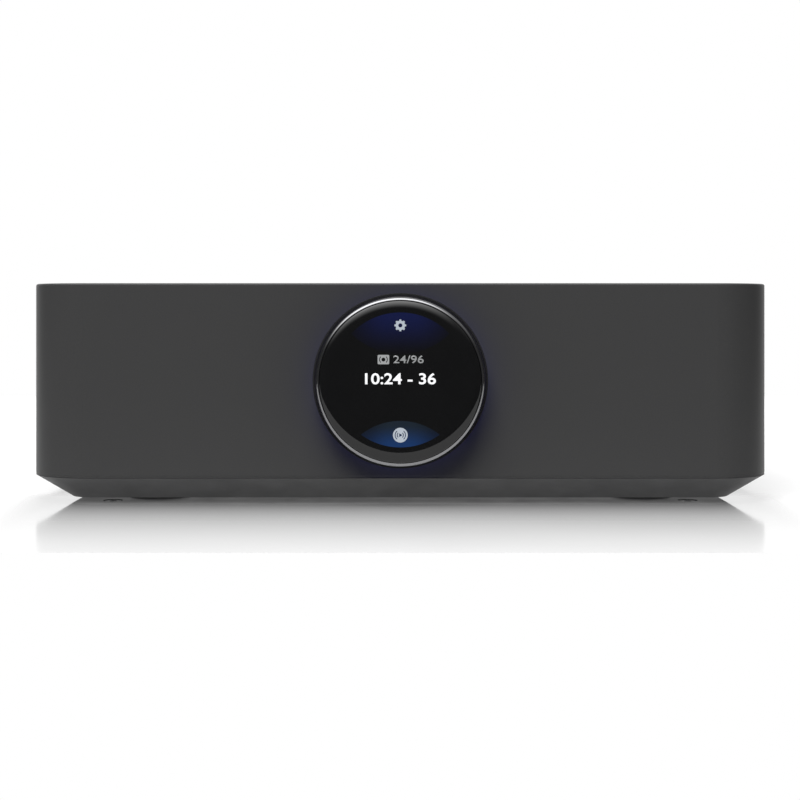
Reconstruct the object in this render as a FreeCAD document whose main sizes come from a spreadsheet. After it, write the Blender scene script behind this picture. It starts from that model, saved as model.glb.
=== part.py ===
import FreeCAD, Part
import math
import os
import Sketcher
from types import SimpleNamespace

# Streaming amplifier: a low box with rounded corners on a tapered base, with a round
# glass display inside an endless volume ring on the front and its sockets on the back.
# The origin is under the middle of the case, at the level that the feet stand on.
# X runs to the right, Y to the back and Z up, in millimetres.

# Driving dimensions

DRIVING = {
    # case and base
    "case_width": 210,
    "case_depth": 210,
    "case_height": 62,
    "corner_radius": 16.5,
    "wall": 2.5,
    "top_edge_radius": 0.6,
    "seam_edge_radius": 0.8,
    "base_height": 6.5,
    "base_inset": 10.5,
    "base_floor": 3,
    "base_ledge": 9,
    "lip_height": 2,
    "lip_thickness": 1.5,
    "foot_gap": 1,
    "foot_radius": 9,
    "foot_sunk": 1,
    "foot_inset": 33,
    "foot_bevel": 0.35,
    "case_boss_radius": 4,
    "case_boss_inset": 21,
    "case_bore_depth": 14,
    "rib_depth": 1.5,
    "rib_width": 1.8,
    "vent_width": 2.8,
    "vent_count": 8,
    # clearances
    "glued_clearance": 0.02,
    "running_clearance": 0.05,
    "seat_clearance": 0.1,
    "free_clearance": 0.3,
    # screws
    "case_screw_radius": 1.5,
    "case_screw_head": 2.8,
    "small_screw_radius": 1,
    "small_screw_head": 1.9,
    "thin_screw_radius": 0.8,
    "thin_screw_head": 1.4,
    "screw_head_height": 1.4,
    "screw_recess": 0.2,
    "case_screw_length": 10,
    "panel_screw_length": 6,
    "board_screw_length": 8,
    "sink_screw_length": 7,
    # volume ring, from the face of the case outwards
    "ring_radius": 24,
    "ring_front_radius": 23.2,
    "ring_gap": 0.5,
    "ring_reach": 8,
    "ring_edge_radius": 0.5,
    "ring_skirt": 0.5,
    "ring_flange_back": 3.2,
    "ring_flange_front": 4.4,
    "magnet_thickness": 1,
    "magnet_inner_radius": 19.8,
    "magnet_outer_radius": 22.5,
    # display and the hub that carries it
    "glass_radius": 21.9,
    "glass_flat_radius": 17.9,
    "glass_thickness": 2.1,
    "glass_edge": 1.2,
    "display_reach": 9,
    "panel_thickness": 1.3,
    "panel_radius": 20.5,
    "carrier_floor": 1,
    "carrier_opening": 5,
    "hub_radius": 18.7,
    "hub_bore": 15.5,
    "hub_flange_half_width": 27,
    "hub_flange_corner": 6,
    "hub_flange_half_height": 21,
    "hub_flange_thickness": 2,
    "pad_half_width": 28,
    "pad_thickness": 2.5,
    "bush_thickness": 0.5,
    "hub_screw_circle": 17.1,
    "flange_screw_across": 23.5,
    "flange_screw_up": 12,
    "display_board_radius": 19.4,
    # light ring behind the volume ring
    "led_board_thickness": 0.6,
    "led_board_inner_radius": 19.3,
    "light_guide_inner_radius": 20.8,
    "light_guide_thickness": 1.2,
    "led_height": 0.6,
    "led_width": 1.6,
    "led_count": 8,
    # connector panel
    "panel_side_gap": 1,
    "panel_low_gap": 3.2,
    "panel_high_gap": 4.7,
    "panel_flange": 2,
    "panel_margin": 3.5,
    "bay_depth": 5,
    "bay_wall": 2,
    "bay_corner": 6,
    "ledge_depth": 6.5,
    "ledge_side": 2,
    "ledge_below": 0.7,
    "panel_screw_inset": 3.9,
    "slot_width": 2.4,
    "slot_count": 12,
    # speaker posts, in two columns and two rows
    "post_spread": 0.24,
    "post_radius": 3,
    "post_base_radius": 6.6,
    "post_base_height": 2,
    "post_base_taper": 0.6,
    "post_spigot_radius": 4.4,
    "post_seat_radius": 5.2,
    "post_seat_height": 1,
    "post_length": 12.9,
    "post_tail": 9,
    "socket_radius": 2.05,
    "socket_depth": 10.5,
    "washer_radius": 5.5,
    "washer_thickness": 0.75,
    "knob_radius": 6.5,
    "knob_reach": 14.4,
    "knob_edge": 1.2,
    "knob_back_bevel": 0.8,
    "knob_collar": 2,
    "flute_radius": 1.3,
    "flute_count": 10,
    "nut_flats": 10,
    "nut_height": 3,
    # round sockets
    "phono_half_spacing": 7,
    "phono_radius": 4.15,
    "phono_core_radius": 3.5,
    "phono_bore": 1.65,
    "phono_core_recess": 0.5,
    "phono_contact_length": 4,
    "phono_contact_skin": 0.3,
    "phono_flange_radius": 5.6,
    "phono_flange_height": 1.5,
    "phono_reach": 9.5,
    "phono_tail": 8,
    # flat sockets
    "video_width": 15.2,
    "video_height": 5.8,
    "video_depth": 12,
    "video_skin": 0.5,
    "tongue_inset": 1.7,
    "tongue_recess": 2.5,
    "tongue_thickness": 0.9,
    "network_width": 16,
    "network_height": 13.5,
    "network_depth": 16,
    "network_wall": 2.1,
    "network_back": 4,
    "network_sill": 3.2,
    "latch_half_width": 3,
    "latch_depth": 1.8,
    "contact_margin": 1.4,
    "contact_width": 0.5,
    "socket_proud": 0.6,
    # mains inlet
    "inlet_width": 17,
    "inlet_opening": 8.8,
    "inlet_wall": 1,
    "inlet_rim": 2,
    "inlet_rim_height": 1.6,
    "inlet_depth": 9.5,
    "inlet_back": 3,
    "pin_radius": 1.2,
    "pin_half_spacing": 4.3,
    "pin_recess": 0.5,
    # setup button
    "button_rise": 4,
    "button_radius": 2,
    "button_reach": 0.8,
    "button_flange": 1,
    "button_stem_radius": 1.2,
    "button_stem": 4,
    "stem_lap": 1,
    "button_travel": 0.4,
    "switch_depth": 5,
    "switch_width": 6.4,
    # boards
    "standoff_height": 11.4,
    "board_thickness": 1.6,
    "board_back_gap": 0.5,
    "board_side_inset": 26.5,
    "board_between": 4.5,
    "main_depth": 122.5,
    "power_depth": 147.5,
    "power_width": 31.5,
    "board_screw_inset": 5,
    "board_rear_inset": 15,
    "standoff_radius": 3,
    # heat sink and output stage
    "sink_inset": 6.5,
    "sink_width": 62,
    "sink_depth": 52,
    "sink_base": 4.5,
    "sink_screw_inset": 4,
    "sink_headroom": 9.5,
    "fin_thickness": 1.4,
    "fin_count": 12,
    "chip_size": 12,
    "chip_height": 2,
    "pad_height": 0.5,
    "inductor_gap": 8,
    "inductor_size": 11,
    "inductor_height": 9,
    # processor, radio and aerials
    "shield_inset": 10,
    "shield_front": 20,
    "shield_depth": 32,
    "shield_height": 3.5,
    "shield_skin": 0.4,
    "module_gap": 12,
    "module_width": 20,
    "module_depth": 14,
    "module_height": 2.4,
    "aerial_length": 44,
    "aerial_width": 8,
    "aerial_thickness": 0.6,
    "aerial_front": 22,
    # power supply, placed from the front of its board
    "capacitor_front": 28,
    "core_front": 50,
    "lead_front": 75,
    "fuse_front": 97.5,
    "choke_front": 107.5,
    "core_width": 30,
    "core_height": 27,
    "core_depth": 12,
    "core_leg": 5,
    "winding_outside": 4.6,
    "capacitor_radius": 7.2,
    "capacitor_height": 30,
    "capacitor_groove": 0.6,
    "capacitor_gap": 1,
    "choke_outer_radius": 9.5,
    "choke_inner_radius": 4,
    "choke_height": 9,
    "fuse_radius": 2.6,
    "fuse_length": 20,
    "fuse_gap": 2,
    "lead_width": 12,
    "lead_thickness": 1,
    "lead_inset": 3,
    "lead_rise": 7,
    "lead_bend": 4,
    # display cable
    "ribbon_width": 12,
    "ribbon_thickness": 0.4,
    "ribbon_bend": 4,
    "ribbon_drop": 6,
    "ribbon_lap": 12,
}

doc = FreeCAD.newDocument("streaming_amplifier")
sheet = doc.addObject("Spreadsheet::Sheet", "sizes")
for row, (name, number) in enumerate(DRIVING.items(), start=1):
    sheet.set(f"A{row}", name)
    sheet.set(f"B{row}", str(number))
    sheet.setAlias(f"B{row}", name)
doc.recompute()


class Size:
    """A length as the text of an expression on the sheet, with its present value."""

    def __init__(self, text, value):
        self.text = text
        self.value = value

    def joined(self, other, sign, value):
        return Size(f"({self.text} {sign} {as_size(other).text})", value)

    def __add__(self, other):
        return self.joined(other, "+", self.value + as_size(other).value)

    def __radd__(self, other):
        return as_size(other) + self

    def __sub__(self, other):
        return self.joined(other, "-", self.value - as_size(other).value)

    def __rsub__(self, other):
        return as_size(other) - self

    def __mul__(self, other):
        return self.joined(other, "*", self.value * as_size(other).value)

    def __rmul__(self, other):
        return as_size(other) * self

    def __truediv__(self, other):
        return self.joined(other, "/", self.value / as_size(other).value)

    def __neg__(self):
        return Size(f"(-{self.text})", -self.value)


def as_size(number):
    """A plain number as a Size; a Size stays as it is."""
    if isinstance(number, Size):
        return number
    return Size(f"({float(number)!r})", float(number))


s = SimpleNamespace(**{name: Size(f"sizes.{name}", float(getattr(sheet, name))) for name in DRIVING})

# Levels and planes that several pieces share

base_bottom = s.foot_gap
case_bottom = base_bottom + s.base_height
dial_height = (case_bottom + s.case_height) / 2
case_front = -s.case_depth / 2
case_back = s.case_depth / 2
half_width = s.case_width / 2
inner_top = s.case_height - s.wall
floor_top = base_bottom + s.base_floor
board_bottom = floor_top + s.standoff_height
board_top = board_bottom + s.board_thickness
button_height = board_top + s.button_rise
bay_face = case_back - s.bay_depth
bay_inside = bay_face - s.bay_wall
foot_places = [(x, y) for x in (s.foot_inset - half_width, half_width - s.foot_inset)
               for y in (case_front + s.foot_inset, case_back - s.foot_inset)]
boss_places = [(x, y) for x in (s.case_boss_inset - half_width, half_width - s.case_boss_inset)
               for y in (case_front + s.case_boss_inset, case_back - s.case_boss_inset)]

# Connector panel: its columns are tenths of a grid over the width, its rows lie about its middle

panel_half_width = half_width - s.corner_radius - s.panel_side_gap
panel_bottom = case_bottom + s.panel_low_gap
panel_top = s.case_height - s.panel_high_gap
panel_middle = (panel_bottom + panel_top) / 2
bay_half_width = panel_half_width - s.panel_margin
bay_bottom = panel_bottom + s.panel_margin
bay_top = panel_top - s.panel_margin
column = s.case_width / 21
post_rise = (bay_top - bay_bottom) * s.post_spread
post_columns = (column * -7, column * -5)
phono_columns = (column * -3.1, column * -1.6)
button_column = as_size(0)
video_column = column * 1.4
network_column = column * 3.4
inlet_column = column * 6.6
hub_front = s.ring_flange_front + 2 * s.seat_clearance
carrier_front = s.display_reach - s.glass_thickness
pad_back = s.wall + s.pad_thickness
hub_back = pad_back + s.hub_flange_thickness
display_board_back = hub_back + s.board_thickness
post_seat = s.post_base_height + s.post_seat_height
washer_back = post_seat + s.running_clearance
knob_back = washer_back + s.washer_thickness + s.running_clearance
knob_bore = s.post_radius + s.running_clearance + s.glued_clearance

# Boards and what stands on them

board_back = bay_inside - s.board_back_gap
power_right = half_width - s.board_side_inset
power_left = power_right - s.power_width
power_middle = (power_left + power_right) / 2
power_front = board_back - s.power_depth
main_left = s.board_side_inset - half_width
main_right = power_left - s.board_between
main_front = board_back - s.main_depth
sink_left = main_left + s.sink_inset
sink_right = sink_left + s.sink_width
sink_front = main_front + s.sink_inset
sink_back = sink_front + s.sink_depth
sink_bottom = board_top + s.chip_height + s.pad_height

# Finished sub-parts, in the order that they are made

nodes = []


# Shared ways of making a piece

def bind(item, name, size):
    """Tie one property to the sheet."""
    item.setExpression(name, as_size(size).text)


def keep(item, label):
    """Give a finished sub-part its name and list it for export."""
    item.Label = label
    nodes.append(item)
    return item


def body(name, x=0, y=0, z=0):
    """An empty PartDesign body with its origin at a place."""
    item = doc.addObject("PartDesign::Body", name)
    item.AllowCompound = True
    for axis, place in zip("xyz", (x, y, z)):
        bind(item, f"Placement.Base.{axis}", place)
    return item


def sketch(item, plane, offset=0):
    """A sketch on an origin plane of its body, moved along the plane's normal."""
    made = item.newObject("Sketcher::SketchObject", f"{item.Name}_sketch")
    support = [feature for feature in item.Origin.OriginFeatures if feature.Role == f"{plane}_Plane"]
    made.AttachmentSupport = [(support[0], "")]
    made.MapMode = "FlatFace"
    bind(made, "AttachmentOffset.Base.z", offset)
    return made


def constrain(made, kind, size, *places):
    """A sketch dimension that follows the sheet."""
    index = made.addConstraint(Sketcher.Constraint(kind, *places, as_size(size).value))
    made.renameConstraint(index, f"size_{index}")
    bind(made, f"Constraints.size_{index}", size)


def pin_point(made, geometry, end, x, y):
    """Hold one point of a sketch at x, y from its origin."""
    constrain(made, "DistanceX", x, -1, 1, geometry, end)
    constrain(made, "DistanceY", y, -1, 1, geometry, end)


def circle(x, y, radius):
    """Draws a circle; x, y and radius are sizes."""
    def draw(made):
        centre = FreeCAD.Vector(as_size(x).value, as_size(y).value, 0)
        index = made.addGeometry(Part.Circle(centre, FreeCAD.Vector(0, 0, 1), as_size(radius).value), False)
        pin_point(made, index, 3, x, y)
        constrain(made, "Radius", radius, index)
    return draw


def arc_between(start, finish, radius):
    """The arc from start to finish that bows to the left of travel, or right for a negative radius."""
    chord = finish - start
    middle = (start + finish) / 2
    reach = math.sqrt(max(radius * radius - chord.Length ** 2 / 4, 0))
    side = FreeCAD.Vector(chord.y, -chord.x, 0).normalize()
    turn = 1 if radius > 0 else -1
    centre = middle + side * (reach * turn)
    first = math.atan2(start.y - centre.y, start.x - centre.x)
    last = math.atan2(finish.y - centre.y, finish.x - centre.x)
    ring = Part.Circle(centre, FreeCAD.Vector(0, 0, 1), abs(radius))
    if turn > 0:
        return Part.ArcOfCircle(ring, last, first), 2, 1
    return Part.ArcOfCircle(ring, first, last), 1, 2


def outline(points, arcs=None):
    """Draws a closed path. arcs gives the radius of the edges that aren't straight, by number."""
    bends = arcs or {}

    def draw(made):
        edges = []
        for number in range(len(points)):
            ends = [points[number], points[(number + 1) % len(points)]]
            start, finish = [FreeCAD.Vector(as_size(x).value, as_size(y).value, 0) for x, y in ends]
            if number in bends:
                curve, first, last = arc_between(start, finish, as_size(bends[number]).value)
            else:
                curve, first, last = Part.LineSegment(start, finish), 1, 2
            edges.append((made.addGeometry(curve, False), first, last))
        for number, (index, first, last) in enumerate(edges):
            pin_point(made, index, first, *points[number])
            following = edges[(number + 1) % len(edges)]
            made.addConstraint(Sketcher.Constraint("Coincident", index, last, following[0], following[1]))
            if number in bends:
                radius = bends[number]
                constrain(made, "Radius", radius if as_size(radius).value > 0 else -radius, index)
    return draw


def rectangle(x, y):
    """Draws a rectangle; x and y are pairs of low and high."""
    return outline([(x[0], y[0]), (x[1], y[0]), (x[1], y[1]), (x[0], y[1])])


def rounded(x, y, radius):
    """Draws a rectangle with round corners."""
    (left, right), (low, high) = x, y
    points = [
        (left + radius, low),
        (right - radius, low),
        (right, low + radius),
        (right, high - radius),
        (right - radius, high),
        (left + radius, high),
        (left, high - radius),
        (left, low + radius),
    ]
    return outline(points, {1: -radius, 3: -radius, 5: -radius, 7: -radius})


def both(half):
    """The pair of places at a distance on each side of the middle."""
    return (-half, half)


def prism(item, plane, low, high, *drawings, cut=False):
    """Pad or pocket between two coordinates on the axis across a plane."""
    backwards = plane == "XZ"
    at_high = cut != backwards
    place = high if at_high else low
    made = sketch(item, plane, -place if backwards else place)
    for draw in drawings:
        draw(made)
    feature = item.newObject("PartDesign::Pocket" if cut else "PartDesign::Pad", f"{item.Name}_prism")
    feature.Profile = made
    bind(feature, "Length", high - low)
    return feature


def turned(item, points, arcs=None, upright=False):
    """Revolve an outline of (along, radius) about Y, or of (radius, up) about Z when upright."""
    made = sketch(item, "XZ" if upright else "YZ")
    outline(points, arcs)(made)
    feature = item.newObject("PartDesign::Revolution", f"{item.Name}_turned")
    feature.Profile = made
    feature.ReferenceAxis = (made, ["V_Axis" if upright else "H_Axis"])
    feature.Angle = 360
    return feature


def round_edges(item, radius, chosen):
    """Round the edges of a body's last feature that a test picks."""
    doc.recompute()
    last = item.Tip
    picked = [f"Edge{n}" for n, edge in enumerate(last.Shape.Edges, start=1) if chosen(edge.BoundBox)]
    feature = item.newObject("PartDesign::Fillet", f"{item.Name}_round")
    feature.Base = (last, picked)
    bind(feature, "Radius", radius)
    return feature


def bevel_edges(item, width, chosen):
    """Bevel the edges of a body's last feature that a test picks."""
    doc.recompute()
    last = item.Tip
    picked = [f"Edge{n}" for n, edge in enumerate(last.Shape.Edges, start=1) if chosen(edge.BoundBox)]
    feature = item.newObject("PartDesign::Chamfer", f"{item.Name}_bevel")
    feature.Base = (last, picked)
    bind(feature, "Size", width)
    return feature


def around(item, feature, count):
    """Repeat a feature in a circle about its own sketch's origin."""
    pattern = item.newObject("PartDesign::PolarPattern", f"{item.Name}_around")
    pattern.Originals = [feature]
    pattern.Axis = (feature.Profile[0], ["N_Axis"])
    pattern.Angle = 360
    bind(pattern, "Occurrences", count)
    item.Tip = pattern
    return pattern


def in_line(item, feature, span, count):
    """Repeat a feature along the horizontal axis of its sketch, over a span."""
    pattern = item.newObject("PartDesign::LinearPattern", f"{item.Name}_in_line")
    pattern.Originals = [feature]
    pattern.Direction = (feature.Profile[0], ["H_Axis"])
    bind(pattern, "Length", span)
    bind(pattern, "Occurrences", count)
    item.Tip = pattern
    return pattern


def box(name, x, y, z):
    """A Part box between low and high on each axis."""
    item = doc.addObject("Part::Box", name)
    for side, axis, (low, high) in zip(("Length", "Width", "Height"), "xyz", (x, y, z)):
        bind(item, side, high - low)
        bind(item, f"Placement.Base.{axis}", low)
    return item


def cylinder(name, axis, centre, radius, length):
    """A Part cylinder that starts at a centre and runs along an axis."""
    item = doc.addObject("Part::Cylinder", name)
    turns = {"x": ((0, 1, 0), 90), "y": ((1, 0, 0), -90), "z": ((0, 0, 1), 0)}
    direction, angle = turns[axis]
    item.Placement.Rotation = FreeCAD.Rotation(FreeCAD.Vector(*direction), angle)
    bind(item, "Radius", radius)
    bind(item, "Height", length)
    for letter, place in zip("xyz", centre):
        bind(item, f"Placement.Base.{letter}", place)
    return item


def group(name, pieces):
    """Like pieces that stay separate solids in one node."""
    item = doc.addObject("Part::Compound", name)
    item.Links = pieces
    return keep(item, name)


def ring_places(radius, count, start=90.0):
    """Evenly spaced places on a circle, as pairs of sizes."""
    angles = [math.radians(start + 360.0 * number / count) for number in range(count)]
    return [(radius * math.cos(angle), radius * math.sin(angle)) for angle in angles]


def dial_body(name):
    """A body whose own origin is where the dial's axis meets the face of the case."""
    return body(name, y=case_front, z=dial_height)


def dial_ring(name, back, front, inner, outer):
    """A plain ring on the dial's axis, from one distance off the case's face to another."""
    item = dial_body(name)
    prism(item, "XZ", -front, -back, circle(0, 0, outer), circle(0, 0, inner))
    return keep(item, name)


def dial_screws(name, places, shank, head, head_front, length):
    """Screws round the dial's axis, with their heads inside the case."""
    item = dial_body(name)
    prism(item, "XZ", -head_front, -head_front + s.screw_head_height,
          *[circle(x, z, head) for x, z in places])
    prism(item, "XZ", -head_front - length, -head_front, *[circle(x, z, shank) for x, z in places])
    return keep(item, name)


# Case

def make_top_case():
    """The shell: top and four walls in one piece, open below."""
    item = body("top_case")
    outside = rounded(both(half_width), both(case_back), s.corner_radius)
    prism(item, "XY", case_bottom, s.case_height, outside)
    top = s.case_height.value
    low = case_bottom.value
    round_edges(item, s.top_edge_radius, lambda b: b.ZMin > top - 0.01)
    round_edges(item, s.seam_edge_radius, lambda b: b.ZMax < low + 0.01)
    inner = s.corner_radius - s.wall
    cavity = rounded(both(half_width - s.wall), both(case_back - s.wall), inner)
    prism(item, "XY", case_bottom, inner_top, cavity, cut=True)
    add_case_ribs(item)
    add_case_bosses(item)
    add_dial_opening(item)
    add_panel_opening(item)
    return keep(item, "top_case")


def add_case_ribs(item):
    """Two low ribs that stiffen the top from inside."""
    reach = half_width - s.wall - s.corner_radius
    half = s.rib_width / 2
    lines = [rectangle(both(reach), (place - half, place + half))
             for place in (-s.case_depth / 6, s.case_depth / 6)]
    prism(item, "XY", inner_top - s.rib_depth, inner_top, *lines)


def add_case_bosses(item):
    """Four bosses that hang from the top and take the base screws."""
    prism(item, "XY", floor_top, inner_top, *[circle(x, y, s.case_boss_radius) for x, y in boss_places])
    bore = s.case_screw_radius + s.running_clearance
    prism(item, "XY", floor_top, floor_top + s.case_bore_depth,
          *[circle(x, y, bore) for x, y in boss_places], cut=True)


def add_dial_opening(item):
    """A thicker stretch of the front wall, bored for the hub and for its screws."""
    inside = case_front + s.wall
    behind = case_front + pad_back
    low = case_bottom + s.lip_height + s.seat_clearance
    prism(item, "XZ", inside, behind, rectangle(both(s.pad_half_width), (low, inner_top)))
    prism(item, "XZ", case_front, behind, circle(0, dial_height, s.hub_radius + s.free_clearance), cut=True)
    bore = s.small_screw_radius + s.running_clearance
    drill = [circle(x, dial_height + z, bore) for x, z in flange_screw_places()]
    prism(item, "XZ", inside - s.wall / 2, behind, *drill, cut=True)


def add_panel_opening(item):
    """The window in the back wall, with a ledge behind it that carries the connector panel."""
    inside = case_back - s.wall
    ledge_front = case_back - s.ledge_depth
    frame = rectangle(both(panel_half_width + s.ledge_side), (panel_bottom - s.ledge_below, inner_top))
    prism(item, "XZ", ledge_front, inside, frame)
    gap = s.seat_clearance
    window = rounded(both(panel_half_width + gap), (panel_bottom - gap, panel_top + gap), s.bay_wall)
    prism(item, "XZ", case_back - s.panel_flange, case_back, window, cut=True)
    loose = s.free_clearance
    through = rounded(both(bay_half_width + loose), (bay_bottom - loose, bay_top + loose),
                      s.bay_corner + s.bay_wall)
    prism(item, "XZ", ledge_front, case_back, through, cut=True)
    bore = s.small_screw_radius + s.running_clearance
    drill = [circle(x, z, bore) for x, z in panel_screw_places()]
    prism(item, "XZ", ledge_front, case_back - s.panel_flange, *drill, cut=True)


def flange_screw_places():
    """Four screws beside the hub, measured from the dial's axis."""
    return [(x, z) for x in both(s.flange_screw_across) for z in both(s.flange_screw_up)]


def panel_screw_places():
    """The four corners of the connector panel's flange."""
    inset = s.panel_screw_inset
    return [(x, z) for x in both(panel_half_width - inset)
            for z in (panel_bottom + inset, panel_top - inset)]


def make_base_cover():
    """The tapered base: a tray that closes the case from below."""
    item = body("base_cover")
    foot_half_x = half_width - s.base_inset
    foot_half_y = case_back - s.base_inset
    foot_corner = s.corner_radius - s.base_inset
    lower = sketch(item, "XY", base_bottom)
    rounded(both(foot_half_x), both(foot_half_y), foot_corner)(lower)
    upper = sketch(item, "XY", case_bottom)
    rounded(both(half_width), both(case_back), s.corner_radius)(upper)
    loft = item.newObject("PartDesign::AdditiveLoft", "base_taper")
    loft.Profile = lower
    loft.Sections = [upper]
    loft.Ruled = True
    tray_corner = s.corner_radius - s.base_ledge
    tray = rounded(both(half_width - s.base_ledge), both(case_back - s.base_ledge), tray_corner)
    prism(item, "XY", floor_top, case_bottom, tray, cut=True)
    add_lip(item)
    places = standoff_places()
    prism(item, "XY", floor_top, board_bottom, *[circle(x, y, s.standoff_radius) for x, y in places])
    bore = s.small_screw_radius + s.running_clearance
    prism(item, "XY", floor_top, board_bottom, *[circle(x, y, bore) for x, y in places], cut=True)
    add_base_holes(item)
    return keep(item, "base_cover")


def add_lip(item):
    """The lip that locates the case walls on the base."""
    outer = s.wall + s.seat_clearance
    inner = outer + s.lip_thickness
    rings = [rounded(both(half_width - off), both(case_back - off), s.corner_radius - off)
             for off in (outer, inner)]
    prism(item, "XY", case_bottom, case_bottom + s.lip_height, *rings)


def add_base_holes(item):
    """Screw holes, foot recesses and air slots, all from below."""
    prism(item, "XY", base_bottom, floor_top,
          *[circle(x, y, s.case_screw_radius + s.seat_clearance) for x, y in boss_places], cut=True)
    prism(item, "XY", base_bottom, base_bottom + s.screw_head_height,
          *[circle(x, y, s.case_screw_head + s.seat_clearance) for x, y in boss_places], cut=True)
    prism(item, "XY", base_bottom, base_bottom + s.foot_sunk,
          *[circle(x, y, s.foot_radius + s.seat_clearance) for x, y in foot_places], cut=True)
    slot = rounded((sink_left, sink_left + s.vent_width), (sink_front, sink_back), s.vent_width * 0.48)
    first = prism(item, "XY", base_bottom, floor_top, slot, cut=True)
    in_line(item, first, s.sink_width - s.vent_width, s.vent_count)


def standoff_places():
    """Where the two boards are screwed down."""
    inset = s.board_screw_inset
    main = [(x, y) for x in (main_left + inset, main_right - inset)
            for y in (main_front + inset, board_back - s.board_rear_inset)]
    power = [(x, y) for x in (power_left + inset, power_right - inset)
             for y in (power_front + inset, board_back - s.board_rear_inset)]
    return main + power


def make_feet():
    """Four rubber discs let into the base."""
    item = body("feet")
    high = base_bottom + s.foot_sunk
    prism(item, "XY", as_size(0), high, *[circle(x, y, s.foot_radius) for x, y in foot_places])
    bevel_edges(item, s.foot_bevel, lambda b: b.ZMax < high.value / 2)
    return keep(item, "feet")


def make_base_screws():
    """Four screws from below into the case bosses."""
    item = body("base_screws")
    low = base_bottom + s.screw_recess
    high = base_bottom + s.screw_head_height
    prism(item, "XY", low, high, *[circle(x, y, s.case_screw_head) for x, y in boss_places])
    prism(item, "XY", high, high + s.case_screw_length,
          *[circle(x, y, s.case_screw_radius) for x, y in boss_places])
    return keep(item, "base_screws")


# Connector panel

def make_rear_panel():
    """The panel: a flange in the window and a shallow bay that holds every socket."""
    item = body("rear_panel")
    flange_front = case_back - s.panel_flange
    plate = rounded(both(panel_half_width), (panel_bottom, panel_top), s.bay_wall)
    prism(item, "XZ", flange_front, case_back, plate)
    box_outline = rounded(both(bay_half_width), (bay_bottom, bay_top), s.bay_corner + s.bay_wall)
    prism(item, "XZ", bay_inside, flange_front, box_outline)
    wall = s.bay_wall
    hollow = rounded(both(bay_half_width - wall), (bay_bottom + wall, bay_top - wall), s.bay_corner)
    prism(item, "XZ", bay_face, case_back, hollow, cut=True)
    holes = [circle(x, z, s.small_screw_radius + s.seat_clearance) for x, z in panel_screw_places()]
    prism(item, "XZ", flange_front, case_back, *holes, cut=True)
    prism(item, "XZ", bay_inside, bay_face, *socket_cutouts(), cut=True)
    left = column * -0.8
    vent = rounded((left, left + s.slot_width), (panel_middle + s.slot_width, bay_top - 2 * s.slot_width),
                   s.slot_width * 0.48)
    first = prism(item, "XZ", bay_inside, bay_face, vent, cut=True)
    in_line(item, first, column * 5, s.slot_count)
    return keep(item, "rear_panel")


def socket_cutouts():
    """Outlines of everything that passes through the panel."""
    gap = s.seat_clearance
    drawings = [circle(x, z, s.post_spigot_radius + gap) for x, z in post_places()]
    drawings += [circle(x, z, s.phono_radius + gap) for x, z in phono_places()]
    drawings.append(circle(button_column, button_height, s.button_radius + s.free_clearance))
    half = s.network_width / 2 + gap
    drawings.append(rectangle((network_column - half, network_column + half),
                              (board_top - gap, board_top + s.network_height + gap)))
    half = s.video_width / 2 + gap
    drawings.append(rectangle((video_column - half, video_column + half),
                              (board_top - gap, board_top + s.video_height + gap)))
    drawings.append(inlet_outline(s.inlet_wall + gap))
    return drawings


def post_places():
    """Two columns of two speaker posts."""
    return [(x, z) for x in post_columns for z in (panel_middle - post_rise, panel_middle + post_rise)]


def phono_places():
    """A pair of line inputs and a single output beside them."""
    first, second = phono_columns
    low = panel_middle - s.phono_half_spacing
    high = panel_middle + s.phono_half_spacing
    return [(first, low), (first, high), (second, low)]


def inlet_outline(margin):
    """The mains inlet's rounded slot, grown by a margin."""
    half = s.inlet_width / 2 + margin
    rise = s.inlet_opening / 2 + margin
    return rounded((inlet_column - half, inlet_column + half),
                   (panel_middle - rise, panel_middle + rise), rise * 0.95)


def make_panel_screws():
    """Four screws through the flange into the ledge."""
    item = body("panel_screws")
    places = panel_screw_places()
    prism(item, "XZ", case_back - s.panel_screw_length, case_back,
          *[circle(x, z, s.small_screw_radius) for x, z in places])
    prism(item, "XZ", case_back, case_back + s.screw_head_height / 2,
          *[circle(x, z, s.small_screw_head) for x, z in places])
    return keep(item, "panel_screws")


# Display, hub and volume ring: distances are measured off the face of the case

def make_display_hub():
    """The fixed tube through the front wall, with its flange plate inside."""
    item = dial_body("display_hub")
    points = [
        (-hub_front, s.hub_bore),
        (-hub_front, s.hub_radius),
        (hub_back, s.hub_radius),
        (hub_back, s.hub_bore),
    ]
    turned(item, points)
    plate = rounded(both(s.hub_flange_half_width), both(s.hub_flange_half_height), s.hub_flange_corner)
    prism(item, "XZ", pad_back, hub_back, plate, circle(0, 0, s.hub_bore + s.seat_clearance))
    through = [circle(x, z, s.thin_screw_radius + s.seat_clearance)
               for x, z in ring_places(s.hub_screw_circle, 3)]
    prism(item, "XZ", -hub_front, hub_back, *through, cut=True)
    holes = [circle(x, z, s.small_screw_radius + s.seat_clearance)
             for x, z in flange_screw_places()]
    prism(item, "XZ", pad_back, hub_back, *holes, cut=True)
    return keep(item, "display_hub")


def make_display_carrier():
    """The dish that holds the display in front of the hub and keeps the volume ring on."""
    item = dial_body("display_carrier")
    floor = -(hub_front + s.carrier_floor)
    rim = s.panel_radius + s.seat_clearance
    points = [
        (-hub_front, s.carrier_opening),
        (-hub_front, s.glass_radius),
        (-carrier_front, s.glass_radius),
        (-carrier_front, rim),
        (floor, rim),
        (floor, s.carrier_opening),
    ]
    turned(item, points)
    bore = s.thin_screw_radius + s.running_clearance
    threads = [circle(x, z, bore) for x, z in ring_places(s.hub_screw_circle, 3)]
    prism(item, "XZ", floor, -hub_front, *threads, cut=True)
    return keep(item, "display_carrier")


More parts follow.
